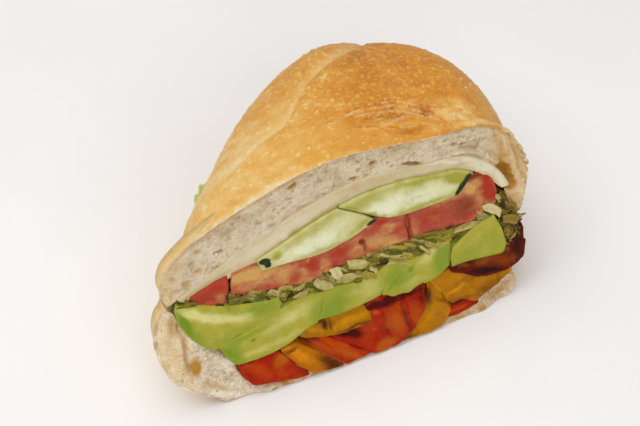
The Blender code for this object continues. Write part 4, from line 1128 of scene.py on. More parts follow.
# The larger shreds: s, h, length, width, turn in degrees, how far forward, kind.
SHREDS = [
    (-57.2, 37.6, 6.6, 1.9, 2, 1.3, "green"), (-54.6, 37.5, 2.6, 1.9, -8, 1.2, "dark"),
    (-46.6, 33.5, 3.4, 1.4, -6, 0.6, "black"), (-40.2, 33.7, 6.8, 2.8, -17, 1.1, "olive"),
    (-43.6, 34.9, 2.9, 0.9, 78, 1.2, "black"), (-34.9, 34, 4.8, 1.3, -10, 1.2, "lime"),
    (-37.2, 31.5, 4.2, 0.8, -22, 1.3, "black"), (-33.2, 31.9, 4.6, 2, 32, 0.9, "dark"),
    (-30.8, 30.2, 2.8, 0.8, -58, 1.3, "black"), (-43.6, 31.3, 6.2, 2.4, -14, 1.6, "lime"),
    (-36.2, 29.6, 3, 1.6, 0, 1.5, "green"), (-31.6, 29, 5.2, 2.4, -15, 1.4, "lime"),
    (-28.6, 31.2, 4.2, 2.2, -20, 0.8, "cream"), (-24.8, 31.7, 5.4, 1.5, -8, 1.1, "lime"),
    (-20.4, 30.5, 4.8, 1.7, 4, 1.2, "lime"), (-23.6, 28.4, 2.6, 1.4, 10, 0.4, "black"),
    (-27.6, 27.8, 2.8, 1.3, -60, 1, "cream"), (-19.8, 27.8, 4.6, 2.4, -5, 0.9, "tan"),
    (-15.8, 28.4, 8.2, 1.5, -38, 0.7, "dark"), (-12.6, 28.5, 7.8, 2.8, -36, 1.3, "cream"),
    (-11.2, 31.3, 3.2, 0.9, -40, 1.4, "dark"), (-10.3, 30.6, 3.2, 0.9, -45, 1.5, "lime"),
    (-8, 30.8, 5, 3.4, -76, 2.2, "rib"), (-4.8, 28, 5.4, 4, -30, 2.3, "cream"),
    (-5.2, 30.6, 4.4, 0.9, -50, 1.3, "lime"), (-0.6, 31.1, 7.2, 3.2, -12, 1.3, "cream"),
    (-2, 28.7, 6.4, 0.7, -25, 1.6, "dark"), (0.3, 27.5, 5.4, 1.9, -20, 1.6, "lime"),
    (2.8, 25.7, 5.8, 2, -15, 1.7, "lime"), (-1.4, 25.3, 3, 0.6, -8, 1.9, "dark"),
    (4.8, 29.8, 4.4, 2.5, -20, 1.2, "green"), (4.4, 27.3, 3.8, 1.5, -40, 1.5, "cream"),
    (8.1, 27.8, 3.8, 2.4, 10, 0.4, "black"), (10.6, 29.8, 8.4, 1, -27, 1.6, "cream"),
    (11.5, 30.8, 8, 0.6, -27, 1.3, "dark"), (13.5, 31.7, 7.2, 1.2, -22, 1.4, "lime"),
    (12.8, 28.3, 8.2, 0.9, -27, 1.5, "cream"), (13, 26.2, 9.4, 0.8, -22, 1.8, "cream"),
    (16.2, 27.9, 4.4, 1.7, -35, 1.7, "lime"), (18.5, 29.5, 6.4, 0.7, -35, 1.3, "dark"),
    (17.5, 31.1, 5.2, 1, -30, 1.5, "lime"), (20.6, 27.3, 3.2, 1.4, -40, 1, "dark"),
    (22.5, 27.4, 6.2, 1.1, -50, 1.6, "cream"), (20.8, 31.3, 6.4, 1.3, -25, 1.2, "tan"),
    (27.4, 31.4, 9.2, 1.1, -18, 1.4, "green"), (24.4, 30.2, 6.4, 0.8, -30, 1.5, "dark"),
    (27, 29.7, 8.2, 1.2, -25, 1.4, "green"), (25, 28.3, 6.4, 1.5, -35, 1.6, "lime"),
    (31.8, 31.8, 3, 0.9, 0, 1.3, "black"), (29.6, 27.8, 4.8, 1.9, 10, 1.2, "lime"),
    (37.4, 30, 9.2, 2.3, -3, 1.2, "cream"), (36.6, 27.5, 9, 1.3, 14, 0.7, "dark"),
    (43.6, 31.6, 4.8, 2.8, -20, 0.9, "tan"), (47, 32.6, 8, 3, -30, 1.7, "rib"),
    (45.6, 31.6, 3.8, 0.6, -35, 1.5, "dark"), (49.6, 35.6, 3.6, 1.6, -55, 1.2, "cream")
]
# The sprouts and wilted leaf at the right-hand end, in the same order.
SPROUT_STEMS = [
    (51, 33.3, 5.2, 0.8, -72, 1.6, "black"), (50.4, 30.2, 4.4, 2.4, -50, 1, "olive"),
    (52.8, 27.4, 6.8, 3.2, -24, 1.8, "tan"), (53.6, 30.6, 5.2, 0.8, -48, 1.7, "dark"),
    (51.6, 23.4, 4.2, 2.8, -52, 1.1, "olive"), (55.2, 25.6, 4.2, 0.9, 35, 1.9, "black"),
    (57, 27, 3.4, 0.6, 22, 1.4, "dark"), (53.3, 21.6, 2.6, 1.6, 20, 1.6, "tan"),
    (52.4, 32.4, 3.6, 1.6, -62, 1.2, "lime"), (54.9, 28.2, 3.6, 1.5, -40, 1.2, "olive"),
    (50.2, 26.6, 3.6, 1.2, -62, 1.8, "dark")
]


LAYER_STEPS = 300  # where a filling's edges are read
LAYER_ROWS = np.array([0.35, 0.9, 1.8, 3.2, 5.5, 9, 14, 22, 34, 50])  # rows behind the cut, mm
FACE_END = 0.2  # how much more a filling grows at its ends, in mm
PROUD_FADE = 16.0  # depth at which it no longer stands out, in mm
ROUNDING_FADE = 4.0  # depth at which its sides are no longer set back, in mm


class Layer:
    """One filling as closed rings (u, q): q goes up the face at the cut, back along the top,
    down the rear and forward along the underside.  The outline is grown by grow mm, so that
    neighbours meet, its ends are rounded over corner mm and the face's edge over rounding mm
    (quarter circles).  Keeps what the finish needs: v up the piece, the cut place (s, h), the
    depth t, and how far each point is from the four borders."""

    def __init__(self, filling, spacing, rounding=0.3, corner=0.5, grow=0.7):
        under, over = (curve_through(edge, even_steps(edge, LAYER_STEPS))
                       for edge in (filling.under, filling.over))
        up = (over - under) / (np.linalg.norm(over - under, axis=1, keepdims=True) + 1e-9)
        under, over = under - grow * up, over + grow * up
        lead = np.gradient((under + over) / 2, axis=0)
        lead /= np.linalg.norm(lead, axis=1, keepdims=True)
        lead *= np.linspace(-1, 1, LAYER_STEPS)[:, None]**9 * (grow + FACE_END)
        under, over = under + lead, over + lead
        length = np.hypot(*np.diff((under + over) / 2, axis=0).T).sum()
        u = np.linspace(0, 1, max(24, round(length / spacing)))[:, None]
        bottom, top = (np.stack([np.interp(u, np.linspace(0, 1, LAYER_STEPS), axis)
                                 for axis in edge.T], -1) for edge in (under, over))
        tall = np.linalg.norm(top - bottom, axis=-1)
        face = max(10, round(tall.max() / spacing))
        depth = np.append(LAYER_ROWS / TIP, FILLING_END)
        v = np.concatenate([np.linspace(0, 1, face), 0 * depth + 1, [0.75, 0.5, 0.25], 0 * depth])
        t = np.concatenate([np.zeros(face), depth, [FILLING_END] * 3, depth[::-1]])
        self.filling, self.turn = filling, face - 1 + len(depth)
        self.v, self.t = v + 0 * u, t + 0 * u
        self.on_face = (self.t == 0) * 1.0
        self.borders = np.stack([u * length + 0 * self.v, (1 - u) * length + 0 * self.v,
                                 self.v * tall, (1 - self.v) * tall], -1)
        ends = self.borders[..., :2].min(-1)
        pinch = np.sqrt(1 - np.clip(1 - ends / corner, 0, 0.999)**2)
        place = bottom + (top - bottom) * (0.5 + (self.v - 0.5) * pinch)[..., None]
        self.s, self.h = place[..., 0], place[..., 1]
        self.cut = np.stack([self.s, self.h, self.t * TIP], -1)
        radius = np.minimum(rounding, tall * 0.45)
        rounded = np.clip(1 - self.borders.min(-1) / radius, 0, 1)
        fall = radius * (1 - np.sqrt(1 - rounded**2))
        set_back = radius * (1 - ease(self.t * TIP / ROUNDING_FADE))
        self.proud = filling.proud * (1 - ease(self.t * TIP / PROUD_FADE))
        self.rings = carry(self.s, self.h, self.t, FILLING_LEVEL)
        self.rings[..., 1] += np.where(self.on_face > 0, fall, set_back) - self.proud

    def rim(self, reach):
        """How far each point is into the skin along the borders, 1 to 0."""
        near = 1 - ease(self.borders / reach)
        return (near * np.array(self.filling.rims)).max(-1)

    def spots(self, mark, wobble=0.6):
        """The filling's own spots for a mark, 0 to about 1."""
        return spots(self.s, self.h, getattr(self.filling, mark), wobble, 91)

    def along(self, size_u, size_v, seed, octaves=1):
        """Noise drawn out along the piece: size_u mm one way and size_v mm the other."""
        places = np.stack([self.borders[..., 0] / size_u, self.borders[..., 2] / size_v,
                           self.t * TIP / size_u], -1)
        return noise(places, 1.0, seed, octaves)

    def build(self, height, tones, material):
        """Raises the surface by height mm along its normals and adds the piece, with its
        tones for the pale, deep and skin marks."""
        raised = self.rings + outward(self.rings) * height[..., None]
        add_rings(self.filling.name, raised, dict(zip(FOOD_MARKS, tones)), material,
                  [self.filling.name], self.turn)


# --- Settings a user would change -------------------------------------------------------

def colour(name, description, code):
    """A colour setting whose default is an sRGB hex code."""
    return FloatVectorProperty(name=name, description=description, subtype="COLOR", size=4,
                               min=0.0, max=1.0, default=linear(code))


class BreadLooks(bpy.types.PropertyGroup):
    """Colours and fineness of the bread."""
    crust_pale: colour("Pale crust", "Crust near the seam", "#F0DAA8")
    # Also the colour of the pale flecks, which are partly painted glints.
    crust_light: colour("Light crust", "Lightly baked crust and flecks", "#EEBF6C")
    crust_gold: colour("Golden crust", "Well baked crust", "#E3A23E")
    crust_brown: colour("Brown crust", "Crust over the top", "#DA8A1E")
    crust_dark: colour("Dark crust", "Crust nearest to the oven's heat", "#B8681A")
    torn: colour("Torn crust", "Bare dough where a slash opened", "#F2D08E")
    crumb: colour("Crumb", "Walls of the crumb", "#E3D2B5")
    # Partly a whiter crumb, partly painted light: the heel's crumb walls and the loose crumbs are
    # painted lighter than the crown's.
    crumb_whiter_and_lit: colour("Heel crumb", "Walls of the crumb in the lower half", "#F6E9D2")
    crumb_shade: colour("Crumb shade", "Thin places in the crumb", "#C6AF8B")
    # Painted shade inside the crumb's pores, holes and creases.
    crumb_deep: colour("Pores", "Inside the crumb's pores", "#A8875A")
    crumb_gold: colour("Golden crumb", "Dried and toasted places in the crumb", "#BE8A38")
    columns: IntProperty(name="Columns", description="Steps across the roll", default=500,
                         min=60, max=560)
    rows: IntProperty(name="Rows", description="Steps from the cut to the roll's end",
                      default=150, min=30, max=170)


class FillingLooks(bpy.types.PropertyGroup):
    """Colours and fineness of the fillings."""
    spacing: FloatProperty(name="Spacing", description="Mesh step on the fillings, in mm",
                           default=0.4, min=0.2, max=2.0)
    cheese: colour("Cheese", "The cheese slice", "#D4C39C")
    cheese_pale: colour("Cheese pale", "Thick and folded cheese", "#E6DCC0")
    # Painted shade along the cheese's edges.
    cheese_deep: colour("Cheese deep", "Thin, oily cheese", "#B49D60")
    cucumber: colour("Cucumber", "Flesh", "#CCC684")
    cucumber_pale: colour("Cucumber pale", "Glassy flesh at the seeds", "#EAE9C4")
    # Also painted as shade along the slices' upper edges, under the cheese.
    cucumber_deep: colour("Cucumber deep", "Flesh under the skin", "#A8A23A")
    cucumber_skin: colour("Cucumber skin", "The skin", "#152602")
    tomato: colour("Tomato", "The flesh", "#B04A34")
    tomato_pale: colour("Tomato pale", "Watery flesh, fibres and gel", "#D2A25C")
    # Ripest flesh, and painted shade in the hollows, in the gaps between slices and under the
    # cheese.
    tomato_deep: colour("Tomato deep", "Ripest flesh and hollows", "#86340C")
    tomato_skin: colour("Tomato skin", "The skin and reddest flesh", "#AC2E0A")
    avocado: colour("Avocado", "Flesh", "#AFA63A")
    avocado_pale: colour("Avocado pale", "Flesh towards the stone", "#DAD288")
    avocado_deep: colour("Avocado deep", "Greener flesh", "#8A9A2E")
    avocado_skin: colour("Avocado rim", "Flesh under the skin", "#76901A")
    lettuce: colour("Lettuce", "Yellow-green leaf", "#A8942A")
    lettuce_pale: colour("Lettuce rib", "Pale ribs", "#D4C68E")
    lettuce_deep: colour("Lettuce deep", "Green leaf", "#5A600C")
    # Also the colour of the dark shreds painted as shade between the lettuce shreds and the
    # sprouts.
    lettuce_skin: colour("Lettuce bruise", "Wilted leaf", "#34280A")
    sprout: colour("Sprouts", "Wilted sprouts and leaf ends", "#94711C")
    sprout_pale: colour("Sprout stems", "Pale stems among the sprouts", "#B89644")
    leaf: colour("Leaf", "The leaf at the flank", "#CDE298")
    pepper_red: colour("Red pepper", "Roasted red pepper", "#A01E02")
    pepper_red_skin: colour("Red pepper edge", "Where red pepper turns orange", "#B6540A")
    pepper_orange: colour("Orange pepper", "Roasted orange pepper", "#B46A03")
    pepper_yellow: colour("Yellow pepper", "Roasted yellow pepper", "#A46C06")
    pepper_amber: colour("Amber pepper", "Roasted amber pepper", "#AE7002")
    pepper_dark: colour("Dark pepper", "Roasted dark red pepper", "#5E1204")
    shreds: IntProperty(name="Shreds", description="Number of small lettuce shreds", default=84,
                        min=20, max=800)
    stems: IntProperty(name="Stems", description="Number of small sprout stems", default=26,
                       min=5, max=200)


class StageLooks(bpy.types.PropertyGroup):
    """The table top, the light and the camera."""
    floor: colour("Table top", "The plain pale table top", "#EFECEA")
    light: FloatProperty(name="Main light", description="Power of the overhead softbox",
                         default=8.6, min=0.0, max=200.0, unit="POWER")
    fill: FloatProperty(name="Fill light", description="Power of the front softbox",
                        default=4.0, min=0.0, max=200.0, unit="POWER")
    sky: FloatProperty(name="Room light", description="Strength of the even light all round",
                       default=0.35, min=0.0, max=5.0)
    lens: FloatProperty(name="Focal length", description="Camera focal length", default=118.0,
                        min=20.0, max=300.0, unit="CAMERA")


# --- The pieces -------------------------------------------------------------------------

CROWN_FACE, HEEL_FACE = (640, 56), (560, 60)  # columns and rows of the cut crumb
HEEL_FEWER = 30  # rows the plain heel needs less


class SANDWICH_OT_crown(bpy.types.Operator):
    """Make the upper half of the roll: its crust and its cut crumb"""
    bl_idname = "sandwich.crown"
    bl_label = "Crown"

    def execute(self, context):
        looks = context.scene.sandwich_bread
        material = bread_material("Baked wheat bread", looks, looks.crumb)
        add_crust("crown_crust", CROWN, looks.columns, looks.rows, crown_crust_relief, material,
                  "crown_bread")
        add_crumb("crown_crumb", CROWN, *CROWN_FACE, crown_crumb_relief, material, "crown_bread")
        return {"FINISHED"}


class SANDWICH_OT_heel(bpy.types.Operator):
    """Make the lower half of the roll: its crust and its cut crumb"""
    bl_idname = "sandwich.heel"
    bl_label = "Heel"

    def execute(self, context):
        looks = context.scene.sandwich_bread
        # The heel's crumb walls are painted lighter than the crown's, partly as painted light.
        material = bread_material("Baked wheat bread, underside", looks, looks.crumb_whiter_and_lit)
        add_crust("heel_crust", HEEL, looks.columns, looks.rows - HEEL_FEWER, heel_crust_relief,
                  material, "heel_bread")
        add_crumb("heel_crumb", HEEL, *HEEL_FACE, heel_crumb_relief, material, "heel_bread")
        return {"FINISHED"}


class SANDWICH_OT_cheese(bpy.types.Operator):
    """Make the cheese slice under the crown"""
    bl_idname = "sandwich.cheese"
    bl_label = "Cheese"

    def execute(self, context):
        looks = context.scene.sandwich_fillings
        material = food_material("cheese", looks)
        layer = Layer(CHEESE, looks.spacing, rounding=0.25, grow=0.8)
        height = 0.16 * layer.along(9, 2.5, 101) + 0.05 * layer.along(2, 1, 102)
        layer.build(height, (layer.spots("pale"), layer.spots("deep"), 0 * height), material)
        return {"FINISHED"}


class SANDWICH_OT_cucumber(bpy.types.Operator):
    """Make the two cucumber slices"""
    bl_idname = "sandwich.cucumber"
    bl_label = "Cucumber"

    def execute(self, context):
        looks = context.scene.sandwich_fillings
        material = food_material("cucumber", looks)
        for filling in CUCUMBER:
            layer = Layer(filling, looks.spacing)
            skin = ease((layer.rim(0.9) - 0.35) / 0.2)
            seeds = ease((noise(layer.cut * [0.5, 1, 1], 2.2, 113) - 0.45) / 0.3)
            height = (0.10 * noise(layer.cut, 4, 114) + 0.04 * noise(layer.cut, 1, 115)
                      - 0.10 * seeds * layer.on_face)
            skin = np.maximum(skin, ease((layer.spots("skin", 0.3) - 0.35) / 0.3))
            green = layer.spots("deep") + 0.7 * layer.rim(2.8) + 0.2 * seeds
            green = green + 0.5 * (1 - layer.on_face)
            layer.build(height, (layer.spots("pale"), green, skin), material)
        return {"FINISHED"}


class SANDWICH_OT_tomato(bpy.types.Operator):
    """Make the three tomato slices"""
    bl_idname = "sandwich.tomato"
    bl_label = "Tomato"

    def execute(self, context):
        looks = context.scene.sandwich_fillings
        material = food_material("tomato", looks)
        for filling in TOMATO:
            layer = Layer(filling, looks.spacing)
            fibre = layer.along(5, 1.4, 121, 2)
            # The deep spots are sunk and painted darker: painted shade in the hollows.
            height = (0.20 * fibre * layer.on_face + 0.16 * noise(layer.cut, 2, 123, 2)
                      - 0.30 * layer.spots("pale") * layer.on_face
                      - 0.8 * layer.spots("deep") * layer.on_face)
            pale = layer.spots("pale") + 0.35 * ease(fibre / 0.5)
            skin = np.maximum(layer.rim(1.2), layer.spots("skin"))
            layer.build(height, (pale, layer.spots("deep"), skin), material)
        return {"FINISHED"}


class SANDWICH_OT_avocado(bpy.types.Operator):
    """Make the five avocado slices"""
    bl_idname = "sandwich.avocado"
    bl_label = "Avocado"

    def execute(self, context):
        looks = context.scene.sandwich_fillings
        material = food_material("avocado", looks)
        for k, filling in enumerate(AVOCADO):
            layer = Layer(filling, looks.spacing, rounding=0.25, corner=0.3, grow=0.8)
            knife = layer.along(14, 1.1, 131 + k)
            height = (0.06 * knife * layer.on_face + 0.18 * layer.along(6, 4, 141 + k)
                      + 0.03 * noise(layer.cut, 0.8, 151))
            green = layer.spots("deep") + 0.4 * layer.rim(3.2) + 0.15 * knife
            skin = np.maximum(0.8 * layer.rim(1.4), layer.spots("skin"))
            layer.build(height, (layer.spots("pale"), green, skin), material)
        return {"FINISHED"}


# A pepper's pale part, paler flesh and painted highlights, is its flesh times a number plus a
# yellow tint; its deep part, painted shade, is its flesh times three shares.
PEPPER_PALE_HIGHLIGHT_GAIN, PEPPER_HIGHLIGHT_TINT, PEPPER_SHADE_SHARES = 1.35, (0.09, 0.045, 0), (0.22, 0.12, 0.30)


class SANDWICH_OT_peppers(bpy.types.Operator):
    """Make the nine strips of roasted pepper"""
    bl_idname = "sandwich.peppers"
    bl_label = "Peppers"

    def execute(self, context):
        looks = context.scene.sandwich_fillings
        materials = {}
        for name in dict.fromkeys(filling.look for filling in PEPPERS):
            flesh = np.array(getattr(looks, "pepper_" + name))
            pale_highlight_colour = (*np.minimum(flesh[:3] * PEPPER_PALE_HIGHLIGHT_GAIN + PEPPER_HIGHLIGHT_TINT, 1), 1)
            shade_colour = (*(flesh[:3] * PEPPER_SHADE_SHARES), 1)
            edge = looks.pepper_red_skin if name in ("red", "dark") else looks.pepper_orange
            materials[name] = food_material("pepper", looks, (tuple(flesh), pale_highlight_colour, shade_colour, edge),
                                            ", " + name)
        for k, filling in enumerate(PEPPERS):
            layer = Layer(filling, looks.spacing, rounding=0.6, corner=0.9)
            layer.rings[..., 1] += PEPPER_SAG * layer.v * layer.proud
            slack = noise(layer.cut + 17 * k, 5, 161, 2)
            crease = layer.along(2.2, 9, 162 + k)
            height = 0.40 * slack + 0.22 * crease + 0.08 * noise(layer.cut, 1.1, 172)
            # Painted highlight on the bulges of the slack flesh and painted shade in its dips.
            pale = layer.spots("pale") + 0.25 * ease((slack - 0.2) / 0.5)
            deep = layer.spots("deep") + 0.2 * ease((-slack - 0.2) / 0.5)
            skin = np.maximum(layer.rim(1.3), layer.spots("skin"))
            layer.build(height, (pale, deep, skin), materials[filling.look])
        return {"FINISHED"}


def out_of_cut(s, h, forward):
    """The way s across and h up the leaning cut and forward mm out of it, as (x, y, z)."""
    return np.stack([s, h * CUT_SLOPE - forward, h], -1)


def at_cut(s, h, forward):
    """Places on the cut, forward mm out of it."""
    return out_of_cut(s, h, forward) + (0, CUT_Y, 0)


def scattered(seed, count, columns):
    """Rows of random values, one for each column: the way it is drawn and its range."""
    draw = np.random.default_rng(seed)
    return zip(*(getattr(draw, way)(*limits, count) for way, *limits in columns))


def add_core(filling, spacing, material, grow, back, lump, seed, high, tones):
    """The core of a heap, its face back mm behind the cut.  Noise of size lump raises it by high
    mm and gives each mark, as a + b * noise, so that a b below 0 paints the mark stronger in the
    dips."""
    core = Layer(filling, spacing, grow=grow)
    core.rings[..., 1] += back * core.on_face
    rough = noise(core.cut, lump, seed, 2)
    core.build(high * rough * core.on_face, [a + b * rough for a, b in tones], material)


def band_edges(filling, s):
    """The heights of a filling's under and over edge where it stands at s."""
    steps = np.linspace(0, 1, 200)
    under, over = curve_through(filling.under, steps), curve_through(filling.over, steps)
    return np.interp(s, *under.T), np.interp(s, *over.T)


SHRED_STATIONS, SHRED_CORNERS = 9, 8
SHRED_CAP = [[0, 1, 2, 3], [0, 3, 4, 7], [4, 5, 6, 7]]  # quads that close a ring of corners


def add_shreds(name, rows, seed, material, node):
    """One mesh of many thin closed shreds, from rows of (s, h, length, width, turn, forward,
    kind).  Each is an oval section carried along a gently bent path in the cut; it narrows
    to its ends, twists and crinkles, and has a ring of corners at each of its stations."""
    draw = np.random.default_rng(seed)
    s, h, length, width, turn, forward = np.array([row[:6] for row in rows], float).T[..., None]
    kinds = np.array([SHRED_KINDS[row[6]] for row in rows])
    n, k = len(rows), SHRED_STATIONS
    step = np.linspace(-0.5, 0.5, k)[None]
    heading = np.radians(turn) + draw.normal(0, 0.35, (n, 1)) * step * 2
    ds = np.cumsum(np.cos(heading), 1) * length / k
    dh = np.cumsum(np.sin(heading), 1) * length / k
    crinkle = np.sin(step * 9 + draw.uniform(0, 6.3, (n, 1))) * draw.uniform(0.3, 1, (n, 1))
    path_s = s + ds - ds.mean(1, keepdims=True)
    path_h = h + dh - dh.mean(1, keepdims=True) + 0.16 * crinkle
    path = at_cut(path_s, path_h, forward + 0.15 * crinkle)
    twist = (draw.uniform(-0.35, 0.35, (n, 1)) + 0.3 * crinkle) * np.minimum(1, 1.6 / width)
    along = out_of_cut(np.cos(heading), np.sin(heading), 0 * heading)
    across = out_of_cut(-np.sin(heading) * np.cos(twist), np.cos(heading) * np.cos(twist),
                        np.sin(twist))
    away = out_of_cut(np.sin(heading) * np.sin(twist), -np.cos(heading) * np.sin(twist),
                      np.cos(twist))
    taper = (1 - np.abs(2 * step)**4 * draw.uniform(0.05, 0.4, (n, 1)))[..., None]
    skew = draw.uniform(-1, 1, (n, 1))[..., None]
    wobble = 1 + 0.12 * np.sin(step * 9 + draw.uniform(0, 6.3, (n, 1)))[..., None]
    wide = (across + along * skew) * (width[..., None] / 2) * taper * wobble
    thick = away * np.clip(width[..., None] * 0.08, 0.10, 0.20) * taper
    angle = np.linspace(0, 2 * math.pi, SHRED_CORNERS + 1)[:-1, None]
    corners = (path[:, :, None] + wide[:, :, None] * np.cos(angle)
               + thick[:, :, None] * np.sin(angle))
    index = np.arange(n * k * SHRED_CORNERS).reshape(n, k, SHRED_CORNERS)
    after = np.roll(index, -1, axis=2)
    sides = np.stack([index[:, :-1], after[:, :-1], after[:, 1:], index[:, 1:]], -1)
    first, last = index[:, 0][:, SHRED_CAP][..., ::-1], index[:, -1][:, SHRED_CAP]
    quads = np.vstack([faces.reshape(-1, 4) for faces in (sides, first, last)])
    streaks = (0.30 * draw.uniform(-1, 1, (n, 1, SHRED_CORNERS, 3))
               + 0.12 * draw.uniform(-1, 1, (n, k, 1, 3)))
    tones = (kinds[:, None, None] + streaks).reshape(-1, 3)
    marks = dict(zip(FOOD_MARKS, tones.T))
    finish_piece(name, corners.reshape(-1, 3), quads, marks, material, [node],
                 smooth=False)


class SANDWICH_OT_lettuce(bpy.types.Operator):
    """Make the layer of shredded lettuce: a core and the shreds in front of it"""
    bl_idname = "sandwich.lettuce"
    bl_label = "Lettuce"

    def execute(self, context):
        looks = context.scene.sandwich_fillings
        material = food_material("lettuce", looks)
        # The core's deep and skin marks are stronger in its dips: painted shade.
        add_core(LETTUCE, looks.spacing, material, grow=0.5, back=1.1, lump=1.8, seed=181,
                 high=0.3, tones=((0, 0), (0.45, -0.7), (0.18, -0.7)))
        rows = [(*row[:5], 0.65 + 0.45 * row[5], row[6]) for row in SHREDS]
        for s, share, long, wide, turn, ahead, kind in scattered(20, looks.shreds, SMALL_SHREDS):
            low, high = band_edges(LETTUCE, s)
            rows.append((s, low + (high - low) * share, long, wide, turn, ahead - 0.10 * wide,
                         kind))
        add_shreds("lettuce_shreds", rows, 21, material, "lettuce")
        return {"FINISHED"}


class SANDWICH_OT_sprouts(bpy.types.Operator):
    """Make the sprouts at the right-hand end"""
    bl_idname = "sandwich.sprouts"
    bl_label = "Sprouts"

    def execute(self, context):
        looks = context.scene.sandwich_fillings
        material = food_material("sprouts", looks)
        # Painted shade and light: the core is darker in its dips and paler on its bumps.
        add_core(SPROUTS, looks.spacing, material, grow=0.2, back=1.6, lump=1.6, seed=191,
                 high=0.5, tones=((0.2, 0.5), (0.4, -0.5), (0.35, -0.7)))
        small = [(s, h, long, STEM_WIDTH, turn, ahead, kind)
                 for s, h, long, turn, ahead, kind in scattered(7, looks.stems, SMALL_STEMS)]
        add_shreds("sprout_stems", SPROUT_STEMS + small, 8, material, "sprouts")
        return {"FINISHED"}


# The leaf in the seam on the left flank, as in the solids: the depths it lies between, where
# it starts, where it leaves the roll and how far it reaches (s), and its height, curl and
# thickness.  Its edge follows the part LEAF_ARC of half a sine wave.
LEAF_DEPTHS = (0.38, 0.61)
LEAF_ROOT_S, LEAF_EDGE_S, LEAF_REACH = -59.6, -63.2, 7.0
LEAF_H, LEAF_CURL, LEAF_THICK, LEAF_LEVEL = 37.85, 0.06, 0.5, 30.1
LEAF_ARC = (0.1, 0.9)
LEAF_GRID = (60, 30)  # steps along the edge and out from the roll
LEAF_CURL_START = 1.5  # the curl starts this far inside the edge


class SANDWICH_OT_leaf(bpy.types.Operator):
    """Make the lettuce leaf that pokes out of the seam on the left flank"""
    bl_idname = "sandwich.leaf"
    bl_label = "Leaf"

    def execute(self, context):
        looks = context.scene.sandwich_fillings
        material = food_material("leaf", looks)
        step = np.linspace(0, 1, LEAF_GRID[0])[:, None]
        reach = LEAF_REACH * np.sin(math.pi * (LEAF_ARC[0] + (LEAF_ARC[1] - LEAF_ARC[0]) * step))
        reach = reach + 0.3 * np.sin(step * 23) * np.sin(math.pi * step)
        out = np.linspace(0, 1, LEAF_GRID[1])
        loop = np.concatenate([out, out[::-1]])[None]
        side = np.concatenate([0 * out - 0.5, 0 * out + 0.5])[None]
        s = LEAF_ROOT_S + (LEAF_EDGE_S - reach - LEAF_ROOT_S) * loop
        free = np.maximum(LEAF_EDGE_S + LEAF_CURL_START - s, 0)
        ruffle = 0.10 * np.minimum(free, 5) * np.sin(step * 31 + loop * 2)
        vein = np.abs(np.sin((step * 9 + loop * 1.5) * math.pi))
        thick = LEAF_THICK * (1 - 0.7 * loop**4)
        h = LEAF_H + LEAF_CURL * free**2 + ruffle + side * thick
        t = LEAF_DEPTHS[0] + (LEAF_DEPTHS[1] - LEAF_DEPTHS[0]) * step + 0 * s
        rings = carry(s, h, t, LEAF_LEVEL)
        ribs = ease((0.25 - vein) / 0.25)
        marks = {"pale": 0.8 * ease((0.4 - loop) / 0.4) + 0 * s, "deep": 0 * s,
                 "skin": 0.5 * ribs + 0 * s}
        add_rings("leaf", rings, marks, material, ["lettuce_leaf"], len(out) - 1)
        return {"FINISHED"}


LOOSE_CRUMBS = ((CROWN, 34), (HEEL, 26))  # how many lie on each bread
CRUMB_SIZES = (0.2, 0.5)  # their radius, in mm
CRUMB_GRID = (6, 8)  # steps from pole to pole and round


class SANDWICH_OT_crumbs(bpy.types.Operator):
    """Make the loose crumbs on the cut"""
    bl_idname = "sandwich.crumbs"
    bl_label = "Crumbs"

    def execute(self, context):
        looks = context.scene.sandwich_bread
        material = bread_material("Loose wheat crumbs", looks, looks.crumb_whiter_and_lit)
        draw = np.random.default_rng(11)
        places = []
        for bread, count in LOOSE_CRUMBS:
            at = draw.random(count)
            outer = curve_through(bread.outer, at)
            inner = curve_through(bread.inner[::-1], at)
            places.append(outer + (inner - outer) * draw.uniform(0.12, 0.9, count)[:, None])
        places = np.vstack(places)
        n, (rows, columns) = len(places), CRUMB_GRID
        size = draw.uniform(*CRUMB_SIZES, n)
        polar = np.linspace(0, math.pi, rows + 1)[None, :, None]
        turn = np.linspace(0, 2 * math.pi, columns + 1)[None, None, :-1]
        ball = np.stack([np.sin(polar) * np.cos(turn), np.sin(polar) * np.sin(turn),
                         np.cos(polar) + 0 * turn], -1)
        centre = at_cut(places[:, 0], places[:, 1], 0.05)[:, None, None]
        size = size[:, None, None, None]
        points = centre + ball * size
        points = points + 0.35 * size * noise(points, 0.5, 201)[..., None]
        points[:, [0, -1]] = points[:, [0, -1]].mean(2, keepdims=True)
        index = np.arange(n * (rows + 1) * columns).reshape(n, rows + 1, columns)
        tone = np.repeat(draw.random(n), (rows + 1) * columns)
        finish_piece("loose_crumbs", points.reshape(-1, 3), ring_quads(index),
                     {"bake": 0.3 + 0 * tone, "torn": 0 * tone, "crumb": 1.0 + 0 * tone,
                      "pore_shade": 0 * tone, "gold": 0.7 * (tone > 0.7)}, material, [],
                     weld=True)
        return {"FINISHED"}

# --- The stage --------------------------------------------------------------------------

CAMERA_PLACE = (-0.2003, -0.4091, 0.5114)  # looks down at 49 degrees from the front left
CAMERA_AIM = (-0.0010, -0.0040, 0.0300)
CAMERA_CLIP = (0.01, 20.0)
LAMP_AIM = (0.0, 0.0, 0.03)
OVERHEAD = (1.2, (-0.25, 0.1, 1.05))  # width and place of the two softboxes, in m
FRONT = (0.8, (-0.2, -0.95, 0.65))
FLOOR_HALF, FLOOR_DROP = 3.0, 0.0002  # half-width, and how far below the sandwich, in m
FLOOR_CLOUDS = 90.0  # size of the board's unevenness, in mm
FLOOR_PALER = linear("#FAF9F8")  # the paint's colour where the roller left it thicker


